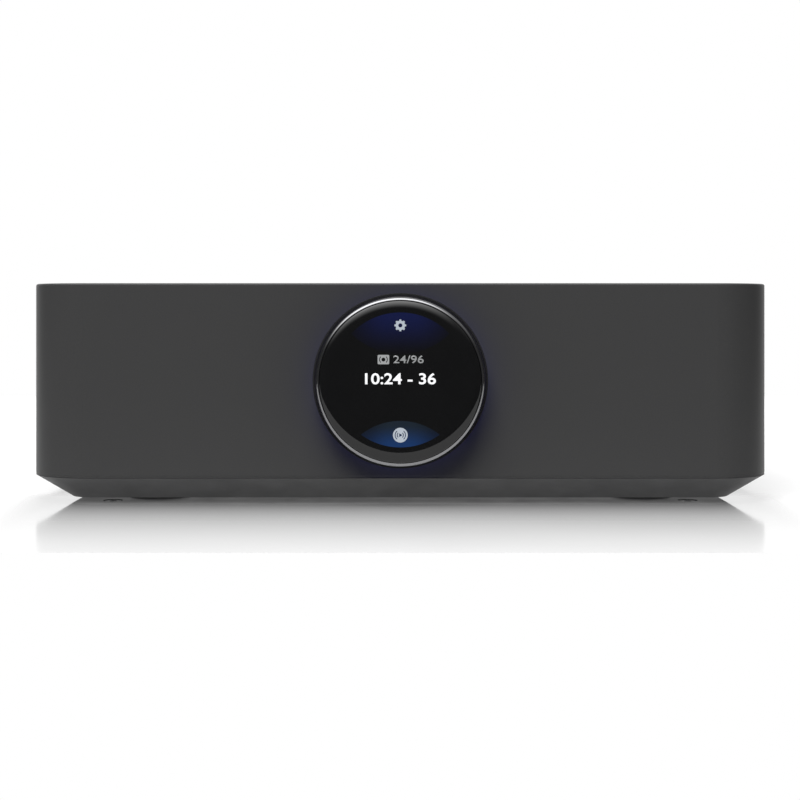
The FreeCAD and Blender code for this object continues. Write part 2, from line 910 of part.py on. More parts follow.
def make_display_glass():
    """The cover glass, flat in the middle and domed at its edge."""
    item = dial_body("display_glass")
    run = s.glass_radius - s.glass_flat_radius
    drop = s.glass_thickness - s.glass_edge
    dome_radius = (run * run + drop * drop) / (2 * drop)
    points = [
        (-carrier_front, as_size(0)),
        (-carrier_front, s.glass_radius),
        (-carrier_front - s.glass_edge, s.glass_radius),
        (-s.display_reach, s.glass_flat_radius),
        (-s.display_reach, as_size(0)),
    ]
    turned(item, points, {2: dome_radius})
    return keep(item, "display_glass")


def make_display_board():
    """The display's own board, on the back of the hub."""
    item = dial_body("display_board")
    holes = [circle(x, z, s.thin_screw_radius + s.seat_clearance)
             for x, z in ring_places(s.hub_screw_circle, 3)]
    prism(item, "XZ", hub_back, display_board_back, circle(0, 0, s.display_board_radius), *holes)
    return keep(item, "display_board")


def make_display_panel():
    """The round display behind the glass."""
    item = dial_body("display_panel")
    prism(item, "XZ", -carrier_front, -carrier_front + s.panel_thickness, circle(0, 0, s.panel_radius))
    return keep(item, "display_panel")


def make_volume_ring():
    """The turning ring: a tapered rim round the glass, a flange behind it and a skirt."""
    item = dial_body("volume_ring")
    bore = s.hub_radius + s.bush_thickness + s.running_clearance
    rim = s.glass_radius + s.free_clearance
    skirt = s.ring_radius - s.ring_skirt
    edge = s.ring_edge_radius
    points = [
        (-s.ring_gap, skirt),
        (-s.ring_gap, s.ring_radius),
        (-s.ring_reach + edge, s.ring_front_radius),
        (-s.ring_reach, s.ring_front_radius - edge),
        (-s.ring_reach, rim),
        (-s.ring_flange_front, rim),
        (-s.ring_flange_front, bore),
        (-s.ring_flange_back, bore),
        (-s.ring_flange_back, skirt),
    ]
    turned(item, points, {2: -edge})
    return keep(item, "volume_ring")


def make_halo_leds():
    """Eight side-firing lamps on the inner edge of their board."""
    item = dial_body("halo_leds")
    low = s.led_board_thickness
    gap = s.seat_clearance
    lamp = rectangle((s.led_board_inner_radius + gap, s.light_guide_inner_radius - gap),
                     both(s.led_width / 2))
    first = prism(item, "XZ", -(low + s.led_height), -low, lamp)
    around(item, first, s.led_count)
    return keep(item, "halo_leds")


def make_dial():
    """Every piece on the dial's axis."""
    make_display_hub()
    make_display_carrier()
    make_display_panel()
    make_display_glass()
    make_display_board()
    dial_screws("hub_screws", ring_places(s.hub_screw_circle, 3), s.thin_screw_radius, s.thin_screw_head,
                -display_board_back, display_board_back + hub_front + s.carrier_floor / 2)
    dial_screws("flange_screws", flange_screw_places(), s.small_screw_radius, s.small_screw_head,
                -hub_back, s.hub_flange_thickness + s.pad_thickness)
    bush_inner = s.hub_radius + s.glued_clearance
    dial_ring("slide_bearing", s.ring_flange_back - s.magnet_thickness, s.ring_flange_front,
              bush_inner, s.hub_radius + s.bush_thickness)
    board_outer = s.ring_radius - s.ring_skirt - s.free_clearance
    dial_ring("led_board", as_size(0), s.led_board_thickness, s.led_board_inner_radius, board_outer)
    make_halo_leds()
    dial_ring("halo_light_guide", s.led_board_thickness, s.led_board_thickness + s.light_guide_thickness,
              s.light_guide_inner_radius, board_outer)
    make_volume_ring()
    dial_ring("encoder_magnet_ring", s.ring_flange_back - s.magnet_thickness, s.ring_flange_back,
              s.magnet_inner_radius, s.magnet_outer_radius)


def make_display_cable():
    """The flat cable from the display's board down to the main board."""
    item = body("display_cable")
    thick = s.ribbon_thickness
    bend = s.ribbon_bend
    start = case_front + display_board_back
    high = dial_height - s.ribbon_drop
    drop = start + 2 * bend
    end = main_front + s.ribbon_lap
    points = [
        (start, high),
        (drop - bend, high),
        (drop, high - bend),
        (drop, board_top + thick + bend),
        (drop + bend, board_top + thick),
        (end, board_top + thick),
        (end, board_top),
        (drop + bend, board_top),
        (drop - thick, board_top + thick + bend),
        (drop - thick, high - bend),
        (drop - bend, high - thick),
        (start, high - thick),
    ]
    arcs = {1: bend, 3: -bend, 7: bend + thick, 9: -(bend - thick)}
    prism(item, "YZ", -s.ribbon_width / 2, s.ribbon_width / 2, outline(points, arcs))
    return keep(item, "display_cable")


# Speaker posts: distances are measured off the floor of the bay

def post_body(name, number):
    """A body on the axis of one speaker post."""
    x, z = post_places()[number]
    return body(name, x=x, y=bay_face, z=z)


def make_post_base(number):
    """The insulating collar of one post."""
    item = post_body(f"post_base_{number + 1}", number)
    bore = s.post_radius + s.running_clearance
    points = [
        (-s.bay_wall, bore),
        (-s.bay_wall, s.post_spigot_radius),
        (as_size(0), s.post_spigot_radius),
        (as_size(0), s.post_base_radius),
        (s.post_base_height, s.post_base_radius - s.post_base_taper),
        (s.post_base_height, bore),
    ]
    turned(item, points)
    return item


def make_post_stud(number):
    """The metal stud of one post, with the socket for a plug in its end."""
    item = post_body(f"post_stud_{number + 1}", number)
    zero = as_size(0)
    points = [
        (-s.post_tail, zero),
        (-s.post_tail, s.post_radius),
        (s.post_base_height, s.post_radius),
        (s.post_base_height, s.post_seat_radius),
        (post_seat, s.post_seat_radius),
        (post_seat, s.post_radius),
        (s.post_length, s.post_radius),
        (s.post_length, s.socket_radius),
        (s.post_length - s.socket_depth, s.socket_radius),
        (s.post_length - s.socket_depth, zero),
    ]
    turned(item, points)
    return item


def make_post_nut(number):
    """The hexagon nut that holds one post from inside."""
    item = post_body(f"post_nut_{number + 1}", number)
    reach = s.nut_flats / math.sqrt(3)
    corners = ring_places(reach, 6, start=0.0)
    prism(item, "XZ", -s.bay_wall - s.nut_height, -s.bay_wall, outline(corners),
          circle(0, 0, s.post_radius + s.running_clearance))
    return item


def make_clamp_washer(number):
    """The washer that presses the wire on its seat, carried by the knob."""
    item = post_body(f"clamp_washer_{number + 1}", number)
    prism(item, "XZ", washer_back, washer_back + s.washer_thickness, circle(0, 0, s.washer_radius),
          circle(0, 0, s.post_radius + s.free_clearance))
    return keep(item, f"clamp_washer_{number + 1}")


def make_post_knob(number):
    """The fluted knob that screws along the stud, open at its end for a plug."""
    item = post_body(f"post_knob_{number + 1}", number)
    edge = s.knob_edge
    points = [
        (knob_back, knob_bore),
        (knob_back, s.knob_radius - s.knob_back_bevel),
        (knob_back + s.knob_back_bevel, s.knob_radius),
        (s.knob_reach - edge, s.knob_radius),
        (s.knob_reach, s.knob_radius - edge),
        (s.knob_reach, knob_bore),
    ]
    turned(item, points)
    flute = circle(s.knob_radius + s.flute_radius / 2, 0, s.flute_radius)
    first = prism(item, "XZ", knob_back + s.knob_collar, s.knob_reach, flute, cut=True)
    around(item, first, s.flute_count)
    return keep(item, f"post_knob_{number + 1}")


def make_posts():
    """Four speaker posts, each of five pieces."""
    count = range(len(post_places()))
    group("post_bases", [make_post_base(number) for number in count])
    group("post_studs", [make_post_stud(number) for number in count])
    group("post_nuts", [make_post_nut(number) for number in count])
    for number in count:
        make_clamp_washer(number)
        make_post_knob(number)


# Round sockets

def make_phono_shell(number, place):
    """The metal barrel of one round socket, with its flange."""
    item = body(f"rca_shell_{number + 1}", x=place[0], y=bay_face, z=place[1])
    inner = s.phono_core_radius
    points = [
        (-s.phono_tail, inner),
        (-s.phono_tail, s.phono_radius),
        (as_size(0), s.phono_radius),
        (as_size(0), s.phono_flange_radius),
        (s.phono_flange_height, s.phono_flange_radius),
        (s.phono_flange_height, s.phono_radius),
        (s.phono_reach, s.phono_radius),
        (s.phono_reach, inner),
    ]
    turned(item, points)
    return item


def make_phono_core(number, place):
    """The insulator inside one barrel, bored for the plug's pin."""
    item = body(f"rca_insulator_{number + 1}", x=place[0], y=bay_face, z=place[1])
    zero = as_size(0)
    bore_end = s.phono_flange_height
    radius = s.phono_core_radius - s.glued_clearance
    front = s.phono_reach - s.phono_core_recess
    points = [
        (-s.phono_tail, zero),
        (-s.phono_tail, radius),
        (front, radius),
        (front, s.phono_bore),
        (bore_end, s.phono_bore),
        (bore_end, zero),
    ]
    turned(item, points)
    return item


def make_phono_contact(number, place):
    """The spring sleeve in one socket's bore."""
    item = body(f"rca_contact_{number + 1}", x=place[0], y=bay_face, z=place[1])
    outer = s.phono_bore - s.glued_clearance
    low = s.phono_flange_height + s.running_clearance
    prism(item, "XZ", low, low + s.phono_contact_length, circle(0, 0, outer),
          circle(0, 0, outer - s.phono_contact_skin))
    return item


def make_phonos():
    """Three round sockets, each of three pieces."""
    places = list(enumerate(phono_places()))
    group("rca_shells", [make_phono_shell(number, place) for number, place in places])
    group("rca_insulators", [make_phono_core(number, place) for number, place in places])
    group("rca_contacts", [make_phono_contact(number, place) for number, place in places])


# Flat sockets

def make_video_socket():
    """The flat metal socket with its tongue."""
    item = body("hdmi_shell")
    front = bay_face + s.socket_proud
    back = front - s.video_depth

    def shell_outline(skin):
        half = s.video_width / 2 - skin
        low = board_top + skin
        high = board_top + s.video_height - skin
        slope = s.video_height / 4
        return outline([
            (video_column - half + slope, low),
            (video_column + half - slope, low),
            (video_column + half, low + slope),
            (video_column + half, high),
            (video_column - half, high),
            (video_column - half, low + slope),
        ])

    prism(item, "XZ", back, front, shell_outline(as_size(0)))
    prism(item, "XZ", back + s.video_skin, front, shell_outline(s.video_skin), cut=True)
    keep(item, "hdmi_shell")
    reach = s.video_width / 2 - s.tongue_inset
    middle = board_top + s.video_height / 2
    tongue = box("hdmi_tongue", (video_column - reach, video_column + reach),
                 (back + s.video_skin, front - s.tongue_recess), (middle, middle + s.tongue_thickness))
    keep(tongue, "hdmi_tongue")


def make_network_socket():
    """The network socket: a block with a stepped cavity and eight contacts."""
    item = body("ethernet_jack")
    front = bay_face + s.socket_proud
    back = front - s.network_depth
    half = s.network_width / 2
    top = board_top + s.network_height
    prism(item, "XZ", back, front, rectangle((network_column - half, network_column + half),
                                             (board_top, top)))
    inner = half - s.network_wall
    cavity_low = board_top + s.network_sill
    cavity_high = top - s.network_wall
    latch = s.latch_half_width
    latch_low = cavity_low - s.latch_depth
    cavity = [
        (network_column - inner, cavity_low),
        (network_column - latch, cavity_low),
        (network_column - latch, latch_low),
        (network_column + latch, latch_low),
        (network_column + latch, cavity_low),
        (network_column + inner, cavity_low),
        (network_column + inner, cavity_high),
        (network_column - inner, cavity_high),
    ]
    prism(item, "XZ", back + s.network_back, front, outline(cavity), cut=True)
    keep(item, "ethernet_jack")
    contacts = body("ethernet_contacts")
    margin = s.contact_margin
    wire = rectangle((network_column - inner + margin, network_column - inner + margin + s.contact_width),
                     (cavity_high - 2 * s.contact_width, cavity_high - s.contact_width))
    first = prism(contacts, "XZ", back + s.network_back, front - s.network_back, wire)
    in_line(contacts, first, 2 * (inner - margin) - s.contact_width, 8)
    keep(contacts, "ethernet_contacts")


def make_inlet():
    """The two-pin mains inlet: a rimmed housing and its pins. The cord isn't part of the object."""
    item = body("inlet_housing")
    mouth = bay_face + s.inlet_rim_height
    back = bay_face - s.inlet_depth - s.inlet_back
    prism(item, "XZ", back, bay_face, inlet_outline(s.inlet_wall))
    prism(item, "XZ", bay_face, mouth, inlet_outline(s.inlet_wall + s.inlet_rim))
    prism(item, "XZ", bay_face - s.inlet_depth, mouth, inlet_outline(as_size(0)), cut=True)
    places = [inlet_column - s.pin_half_spacing, inlet_column + s.pin_half_spacing]
    holes = [circle(x, panel_middle, s.pin_radius + s.running_clearance) for x in places]
    prism(item, "XZ", back, bay_face - s.inlet_depth, *holes, cut=True)
    keep(item, "inlet_housing")
    pins = body("inlet_pins")
    tip = bay_face - s.pin_recess
    prism(pins, "XZ", back - s.inlet_back, tip, *[circle(x, panel_middle, s.pin_radius) for x in places])
    bevel_edges(pins, s.pin_radius / 2, lambda b: b.YMin > tip.value - 0.01)
    keep(pins, "inlet_pins")


def make_setup_button():
    """The setup button and the switch behind it."""
    item = body("setup_button", x=button_column, y=bay_face, z=button_height)
    zero = as_size(0)
    flange_back = -s.bay_wall - s.running_clearance
    stem_start = flange_back - s.button_flange
    points = [
        (stem_start - s.button_stem, zero),
        (stem_start - s.button_stem, s.button_stem_radius),
        (stem_start, s.button_stem_radius),
        (stem_start, s.button_radius + s.button_flange),
        (flange_back, s.button_radius + s.button_flange),
        (flange_back, s.button_radius),
        (s.button_reach, s.button_radius),
        (s.button_reach, zero),
    ]
    turned(item, points)
    keep(item, "setup_button")
    switch = body("setup_switch")
    mouth = bay_inside - s.running_clearance - s.button_flange - s.button_stem + s.stem_lap
    half = s.switch_width / 2
    prism(switch, "XZ", mouth - s.switch_depth, mouth,
          rectangle((button_column - half, button_column + half), (board_top, button_height + half)))
    prism(switch, "XZ", mouth - s.stem_lap - 1.5 * s.button_travel, mouth,
          circle(button_column, button_height, s.button_stem_radius + s.free_clearance), cut=True)
    keep(switch, "setup_switch")


# Boards and what stands on them

def make_board(name, left, right, front, extra):
    """One circuit board on its standoffs."""
    item = body(name)
    prism(item, "XY", board_bottom, board_top, rectangle((left, right), (front, board_back)))
    bore = s.small_screw_radius + s.seat_clearance
    holes = [place for place in standoff_places() if left.value < place[0].value < right.value] + extra
    prism(item, "XY", board_bottom, board_top, *[circle(x, y, bore) for x, y in holes], cut=True)
    return keep(item, name)


def make_board_screws():
    """Screws that hold both boards to the base."""
    item = body("board_screws")
    places = standoff_places()
    prism(item, "XY", board_top, board_top + s.screw_head_height,
          *[circle(x, y, s.small_screw_head) for x, y in places])
    prism(item, "XY", board_top - s.board_screw_length, board_top,
          *[circle(x, y, s.small_screw_radius) for x, y in places])
    return keep(item, "board_screws")


def sink_screw_places():
    """One screw at each end of the heat sink, on its middle line."""
    middle = sink_front + s.sink_depth / 2
    return [(sink_left + s.sink_screw_inset, middle), (sink_right - s.sink_screw_inset, middle)]


def make_heat_sink():
    """The finned heat sink over the output stage."""
    item = body("heat_sink")
    high = sink_bottom + s.sink_base
    prism(item, "XY", sink_bottom, high, rectangle((sink_left, sink_right), (sink_front, sink_back)))
    prism(item, "XY", board_top, sink_bottom,
          *[circle(x, y, s.standoff_radius) for x, y in sink_screw_places()])
    fin = rectangle((sink_left, sink_left + s.fin_thickness), (sink_front, sink_back))
    first = prism(item, "XY", high, inner_top - s.sink_headroom, fin)
    in_line(item, first, s.sink_width - s.fin_thickness, s.fin_count)
    bore = s.small_screw_radius + s.running_clearance
    prism(item, "XY", board_top, board_bottom + s.sink_screw_length + s.free_clearance,
          *[circle(x, y, bore) for x, y in sink_screw_places()], cut=True)
    return keep(item, "heat_sink")


def make_sink_screws():
    """Two screws from under the board into the heat sink."""
    item = body("heat_sink_screws")
    places = sink_screw_places()
    low = board_bottom
    prism(item, "XY", low - s.screw_head_height, low, *[circle(x, y, s.small_screw_head) for x, y in places])
    prism(item, "XY", low, low + s.sink_screw_length,
          *[circle(x, y, s.small_screw_radius) for x, y in places])
    return keep(item, "heat_sink_screws")


def make_output_stage():
    """Amplifier chips with their pads under the heat sink, and the output coils behind it."""
    half = s.chip_size / 2
    middle = sink_front + s.sink_depth / 2
    chips, pads = [], []
    for number, part in enumerate((1, 2), start=1):
        x = sink_left + s.sink_width * part / 3
        across = (x - half, x + half)
        along = (middle - half, middle + half)
        chip_top = board_top + s.chip_height
        chips.append(box(f"amplifier_chip_{number}", across, along, (board_top, chip_top)))
        pads.append(box(f"thermal_pad_{number}", across, along, (chip_top, sink_bottom)))
    group("amplifier_chips", chips)
    group("thermal_pads", pads)
    coils = body("output_inductors")
    size = s.inductor_size
    front = sink_back + s.inductor_gap
    block = rounded((sink_left, sink_left + size), (front, front + size), size / 8)
    first = prism(coils, "XY", board_top, board_top + s.inductor_height, block)
    in_line(coils, first, s.sink_width - size, 4)
    keep(coils, "output_inductors")


def make_modules():
    """The processor under its shield, the radio module and its two aerials."""
    shield = body("processor_shield")
    left = sink_right + s.shield_inset
    right = main_right - s.shield_inset
    front = main_front + s.shield_front
    back = front + s.shield_depth
    high = board_top + s.shield_height
    skin = s.shield_skin
    prism(shield, "XY", board_top, high, rectangle((left, right), (front, back)))
    bevel_edges(shield, skin, lambda b: b.ZMin > high.value - 0.01)
    prism(shield, "XY", board_top, high - skin,
          rectangle((left + skin, right - skin), (front + skin, back - skin)), cut=True)
    keep(shield, "processor_shield")
    module_front = back + s.module_gap
    module = box("wifi_module", (left, left + s.module_width), (module_front, module_front + s.module_depth),
                 (board_top, board_top + s.module_height))
    keep(module, "wifi_module")
    near = case_front + s.aerial_front
    half = s.aerial_length / 2
    aerials = []
    for number, place in enumerate((-s.case_width / 6, s.case_width / 6), start=1):
        aerials.append(box(f"antenna_{number}", (place - half, place + half), (near, near + s.aerial_width),
                           (floor_top, floor_top + s.aerial_thickness)))
    group("antennas", aerials)


# Power supply

def make_transformer():
    """Ferrite core with two windows, and the winding round its middle leg."""
    core = body("transformer_core")
    middle = power_middle
    front = power_front + s.core_front
    half = s.core_width / 2
    leg = s.core_leg
    low = board_top
    high = board_top + s.core_height
    windows = [rectangle((middle - half + leg, middle - leg), (low + leg, high - leg)),
               rectangle((middle + leg, middle + half - leg), (low + leg, high - leg))]
    prism(core, "XZ", front, front + s.core_depth, rectangle((middle - half, middle + half), (low, high)),
          *windows)
    keep(core, "transformer_core")
    winding = body("transformer_winding")
    gap = s.seat_clearance
    grow = s.winding_outside
    inner = rectangle((middle - leg - gap, middle + leg + gap), (front - gap, front + s.core_depth + gap))
    outer = rounded((middle - leg - grow, middle + leg + grow),
                    (front - grow, front + s.core_depth + grow), grow - gap)
    prism(winding, "XY", low + leg + gap, high - leg - gap, outer, inner)
    keep(winding, "transformer_winding")


def make_capacitor(number, x, y):
    """One can capacitor with its rolled groove."""
    item = body(f"bulk_capacitor_{number}", x=x, y=y, z=board_top)
    radius = s.capacitor_radius
    high = s.capacitor_height
    groove = s.capacitor_groove
    zero = as_size(0)
    points = [
        (zero, zero),
        (radius, zero),
        (radius, 3 * groove),
        (radius - groove, 4 * groove),
        (radius, 5 * groove),
        (radius, high - groove),
        (radius - groove, high),
        (zero, high),
    ]
    turned(item, points, upright=True)
    return item


def make_power_supply():
    """Capacitors, choke and fuse on the power board."""
    make_transformer()
    step = s.capacitor_radius + s.capacitor_gap
    middle = power_middle
    front = power_front + s.capacitor_front
    group("bulk_capacitors",
          [make_capacitor(1, middle - step, front), make_capacitor(2, middle + step, front)])
    choke_column = middle - s.choke_outer_radius / 2
    choke = body("mains_choke", x=choke_column, y=power_front + s.choke_front, z=board_top)
    prism(choke, "XY", as_size(0), s.choke_height, circle(0, 0, s.choke_outer_radius),
          circle(0, 0, s.choke_inner_radius))
    keep(choke, "mains_choke")
    fuse_column = middle + s.choke_outer_radius + s.fuse_gap
    fuse = cylinder("fuse", "y", (fuse_column, power_front + s.fuse_front, board_top + s.fuse_radius),
                    s.fuse_radius, s.fuse_length)
    keep(fuse, "fuse")


def make_power_harness():
    """The flat lead between the boards: up from one, over and down to the other."""
    item = body("power_harness")
    front = power_front + s.lead_front
    thick = s.lead_thickness
    bend = s.lead_bend
    left, right = main_right - s.lead_inset, power_left + s.lead_inset
    low = board_top
    shoulder = board_top + s.lead_rise
    top = shoulder + bend
    points = [
        (left, low),
        (left + thick, low),
        (left + thick, shoulder),
        (left + bend, top - thick),
        (right - bend, top - thick),
        (right - thick, shoulder),
        (right - thick, low),
        (right, low),
        (right, shoulder),
        (right - bend, top),
        (left + bend, top),
        (left, shoulder),
    ]
    inside = bend - thick
    arcs = {2: inside, 4: inside, 8: -bend, 10: -bend}
    prism(item, "XZ", front, front + s.lead_width, outline(points, arcs))
    return keep(item, "power_harness")


make_top_case()
make_base_cover()
make_feet()
make_base_screws()
make_rear_panel()
make_panel_screws()
make_dial()
make_display_cable()
make_posts()
make_phonos()
make_video_socket()
make_network_socket()
make_inlet()
make_setup_button()
make_board("main_board", main_left, main_right, main_front, sink_screw_places())
make_board("power_board", power_left, power_right, power_front, [])
make_board_screws()
make_heat_sink()
make_sink_screws()
make_output_stage()
make_modules()
make_power_supply()
make_power_harness()

# Check and export

doc.recompute()
for item in doc.Objects:
    if "Invalid" in item.State or "Error" in item.State:
        raise RuntimeError(f"{item.Label} failed: {item.State}")
for item in nodes:
    if item.Shape.isNull() or not item.Shape.isValid() or not item.Shape.Solids:
        raise RuntimeError(f"{item.Label} has no valid solid")

os.makedirs("parts", exist_ok=True)
for item in nodes:
    item.Shape.exportStep(f"parts/{item.Label}.step")
print(len(nodes), "sub-parts written")
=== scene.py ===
"""A streaming amplifier with a round display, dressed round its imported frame."""

import logging
import math
from collections.abc import Callable, Iterator, Sequence
from contextlib import contextmanager
from dataclasses import dataclass, field
from enum import Enum
from functools import cache

import bmesh
import bpy
from mathutils import Matrix, Vector


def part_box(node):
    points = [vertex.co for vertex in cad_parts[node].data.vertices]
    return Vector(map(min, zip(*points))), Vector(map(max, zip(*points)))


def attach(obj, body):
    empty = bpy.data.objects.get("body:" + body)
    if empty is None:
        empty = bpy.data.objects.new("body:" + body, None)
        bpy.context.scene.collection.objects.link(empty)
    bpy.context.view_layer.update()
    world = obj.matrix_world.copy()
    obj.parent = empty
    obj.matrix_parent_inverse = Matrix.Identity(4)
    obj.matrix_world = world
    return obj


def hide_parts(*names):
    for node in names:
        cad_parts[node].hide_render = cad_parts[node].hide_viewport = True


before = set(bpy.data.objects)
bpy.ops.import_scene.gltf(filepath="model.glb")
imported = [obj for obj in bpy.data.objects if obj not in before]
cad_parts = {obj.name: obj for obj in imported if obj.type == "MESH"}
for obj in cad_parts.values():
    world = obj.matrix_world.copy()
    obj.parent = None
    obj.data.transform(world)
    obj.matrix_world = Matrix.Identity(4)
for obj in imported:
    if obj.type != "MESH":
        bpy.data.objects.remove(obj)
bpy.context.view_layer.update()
MM = 0.001
DIAL_HEIGHT = 34.75
PIXEL = 0.2734
LOG = logging.getLogger("amplifier")

Colour = tuple[float, float, float]
Place = tuple[float, float, float]
Piece = bpy.types.Object
Material = bpy.types.Material
Outline = Sequence[tuple[float, float]]
Socket = bpy.types.NodeSocket
Source = bpy.types.NodeSocket | float


# Finishes


class Surface(Enum):
    """How a finish's fine structure runs."""

    GRAIN = "grain"
    DRAWN = "drawn"
    BOARD = "board"
    WOUND = "wound"
    SMOOTH = "smooth"


EVEN = (1.0, 1.0, 1.0)
STRETCH = {Surface.DRAWN: (1.0, 0.03, 1.0), Surface.WOUND: (0.02, 0.02, 1.0)}
NOISE_LOW, NOISE_HIGH = 0.3, 0.7
BLACK, WHITE = (0.0, 0.0, 0.0), (1.0, 1.0, 1.0)


class Desk:
    """Adds nodes to one tree and joins them up."""

    def __init__(self, tree: bpy.types.NodeTree) -> None:
        """Start on a tree."""
        self.tree = tree

    def add(self, kind: str, **settings: object) -> bpy.types.Node:
        """Add a node.

        Args:
            kind: the node's type name, without its ShaderNode prefix.
            settings: properties to set on it.

        Returns:
            The new node.
        """
        node = self.tree.nodes.new("ShaderNode" + kind)
        for name, value in settings.items():
            setattr(node, name, value)
        return node

    def put(self, source: Source, target: Socket) -> None:
        """Join a socket to another, or set it to a number.

        Args:
            source: a socket or a number.
            target: the input that takes it.
        """
        if isinstance(source, (int, float)):
            target.default_value = source
        else:
            self.tree.links.new(source, target)

    def feed(self, node: bpy.types.Node, *sources: Source) -> Socket:
        """Put sources into a node's first inputs.

        Args:
            node: the node.
            sources: sockets or numbers, one for each input.

        Returns:
            The node's first output.
        """
        for number, source in enumerate(sources):
            self.put(source, node.inputs[number])
        return node.outputs[0]

    def sum(self, kind: str, *inputs: Source) -> Socket:
        """One step of arithmetic, named as the Math node names it."""
        return self.feed(self.add("Math", operation=kind), *inputs)

    def times(self, first: Source, second: Source) -> Socket:
        """The product of two numbers."""
        return self.sum("MULTIPLY", first, second)

    def minus(self, first: Source, second: Source) -> Socket:
        """The difference of two numbers."""
        return self.sum("SUBTRACT", first, second)

    def ramp(self, source: Source, low: float, high: float, start: float, finish: float,
             kind: str = "SMOOTHSTEP") -> Socket:
        """Map the range from low to high on to the range from start to finish, and clamp it."""
        return self.feed(self.add("MapRange", interpolation_type=kind), source, low, high, start, finish)

    def over_noise(self, noise: Socket, start: float, finish: float, kind: str = "SMOOTHSTEP") -> Socket:
        """Map the range where nearly all of a noise lies on to the range from start to finish."""
        return self.ramp(noise, NOISE_LOW, NOISE_HIGH, start, finish, kind)

    def mix(self, share: Source, first: Source, second: Source) -> Socket:
        """Mix two numbers.

        Args:
            share: how much of the second counts.
            first: a number or a socket.
            second: a number or a socket.

        Returns:
            The mixed number.
        """
        node = self.add("Mix", data_type="FLOAT")
        for number, source in ((0, share), (2, first), (3, second)):
            self.put(source, node.inputs[number])
        return node.outputs[0]

    def length(self, first: Socket, second: Socket) -> Socket:
        """The length of a line with these two parts at right angles."""
        squares = [self.times(part, part) for part in (first, second)]
        return self.sum("SQRT", self.sum("ADD", *squares))

    def decay(self, distance: Socket, reach: float) -> Socket:
        """A share that falls from 1 by the factor e over each reach, in metres."""
        return self.sum("EXPONENT", self.times(distance, -1.0 / reach))

    def split(self, vector: Socket) -> tuple[Socket, ...]:
        """The x, y and z of a vector.

        Args:
            vector: the vector's socket.

        Returns:
            The three sockets.
        """
        node = self.add("SeparateXYZ")
        self.feed(node, vector)
        return tuple(node.outputs)


class NodeDesk(Desk):
    """A desk for one material."""

    def __init__(self, name: str) -> None:
        """Start a material that holds a Principled shader.

        Args:
            name: the material's name.
        """
        self.material = bpy.data.materials.new(name)
        self.material.use_nodes = True
        super().__init__(self.material.node_tree)
        self.shader = self.tree.nodes["Principled BSDF"]
        self.output = self.tree.nodes["Material Output"]

    def put_in(self, name: str, source: Source) -> None:
        """Put a socket or a number into one of the shader's inputs."""
        self.put(source, self.shader.inputs[name])

    def place(self) -> tuple[Socket, ...]:
        """The x, y and z of the point in object space."""
        return self.split(self.add("TexCoord").outputs["Object"])

    def off_axis(self) -> tuple[Socket, Socket]:
        """The point's distance from the dial's axis, and its y, in object space."""
        x, y, z = self.place()
        return self.length(x, self.minus(z, DIAL_HEIGHT * MM)), y

    def noise(self, scale: float, detail: float = 3.0, stretch: Place = EVEN) -> Socket:
        """Noise over object space.

        Args:
            scale: how many features fit in a metre.
            detail: the number of octaves.
            stretch: a factor on each axis.

        Returns:
            The noise's value.
        """
        mapping = self.add("Mapping")
        mapping.inputs["Scale"].default_value = stretch
        self.put(self.add("TexCoord").outputs["Object"], mapping.inputs["Vector"])
        node = self.add("TexNoise")
        node.inputs["Scale"].default_value = scale
        node.inputs["Detail"].default_value = detail
        self.put(mapping.outputs[0], node.inputs["Vector"])
        return node.outputs[0]

    def blend(self, share: Source, first: Colour | Socket, second: Colour | Socket) -> Socket:
        """Mix two colours.

        Args:
            share: how much of the second shows.
            first: a colour or a socket.
            second: a colour or a socket.

        Returns:
            The mixed colour.
        """
        node = self.add("Mix", data_type="RGBA")
        self.put(share, node.inputs[0])
        for colour, target in ((first, node.inputs[6]), (second, node.inputs[7])):
            if isinstance(colour, tuple):
                target.default_value = (*colour, 1.0)
            else:
                self.tree.links.new(colour, target)
        return node.outputs[2]

    def bump(self, height: Socket, depth: float, strength: float = 1.0) -> None:
        """Raise the surface.

        Args:
            height: how high each point is, as a share of the depth.
            depth: the whole range, in millimetres.
            strength: how far the normals follow it.
        """
        node = self.add("Bump")
        node.inputs["Strength"].default_value = strength
        node.inputs["Distance"].default_value = depth * MM
        self.put(height, node.inputs["Height"])
        self.put_in("Normal", node.outputs[0])


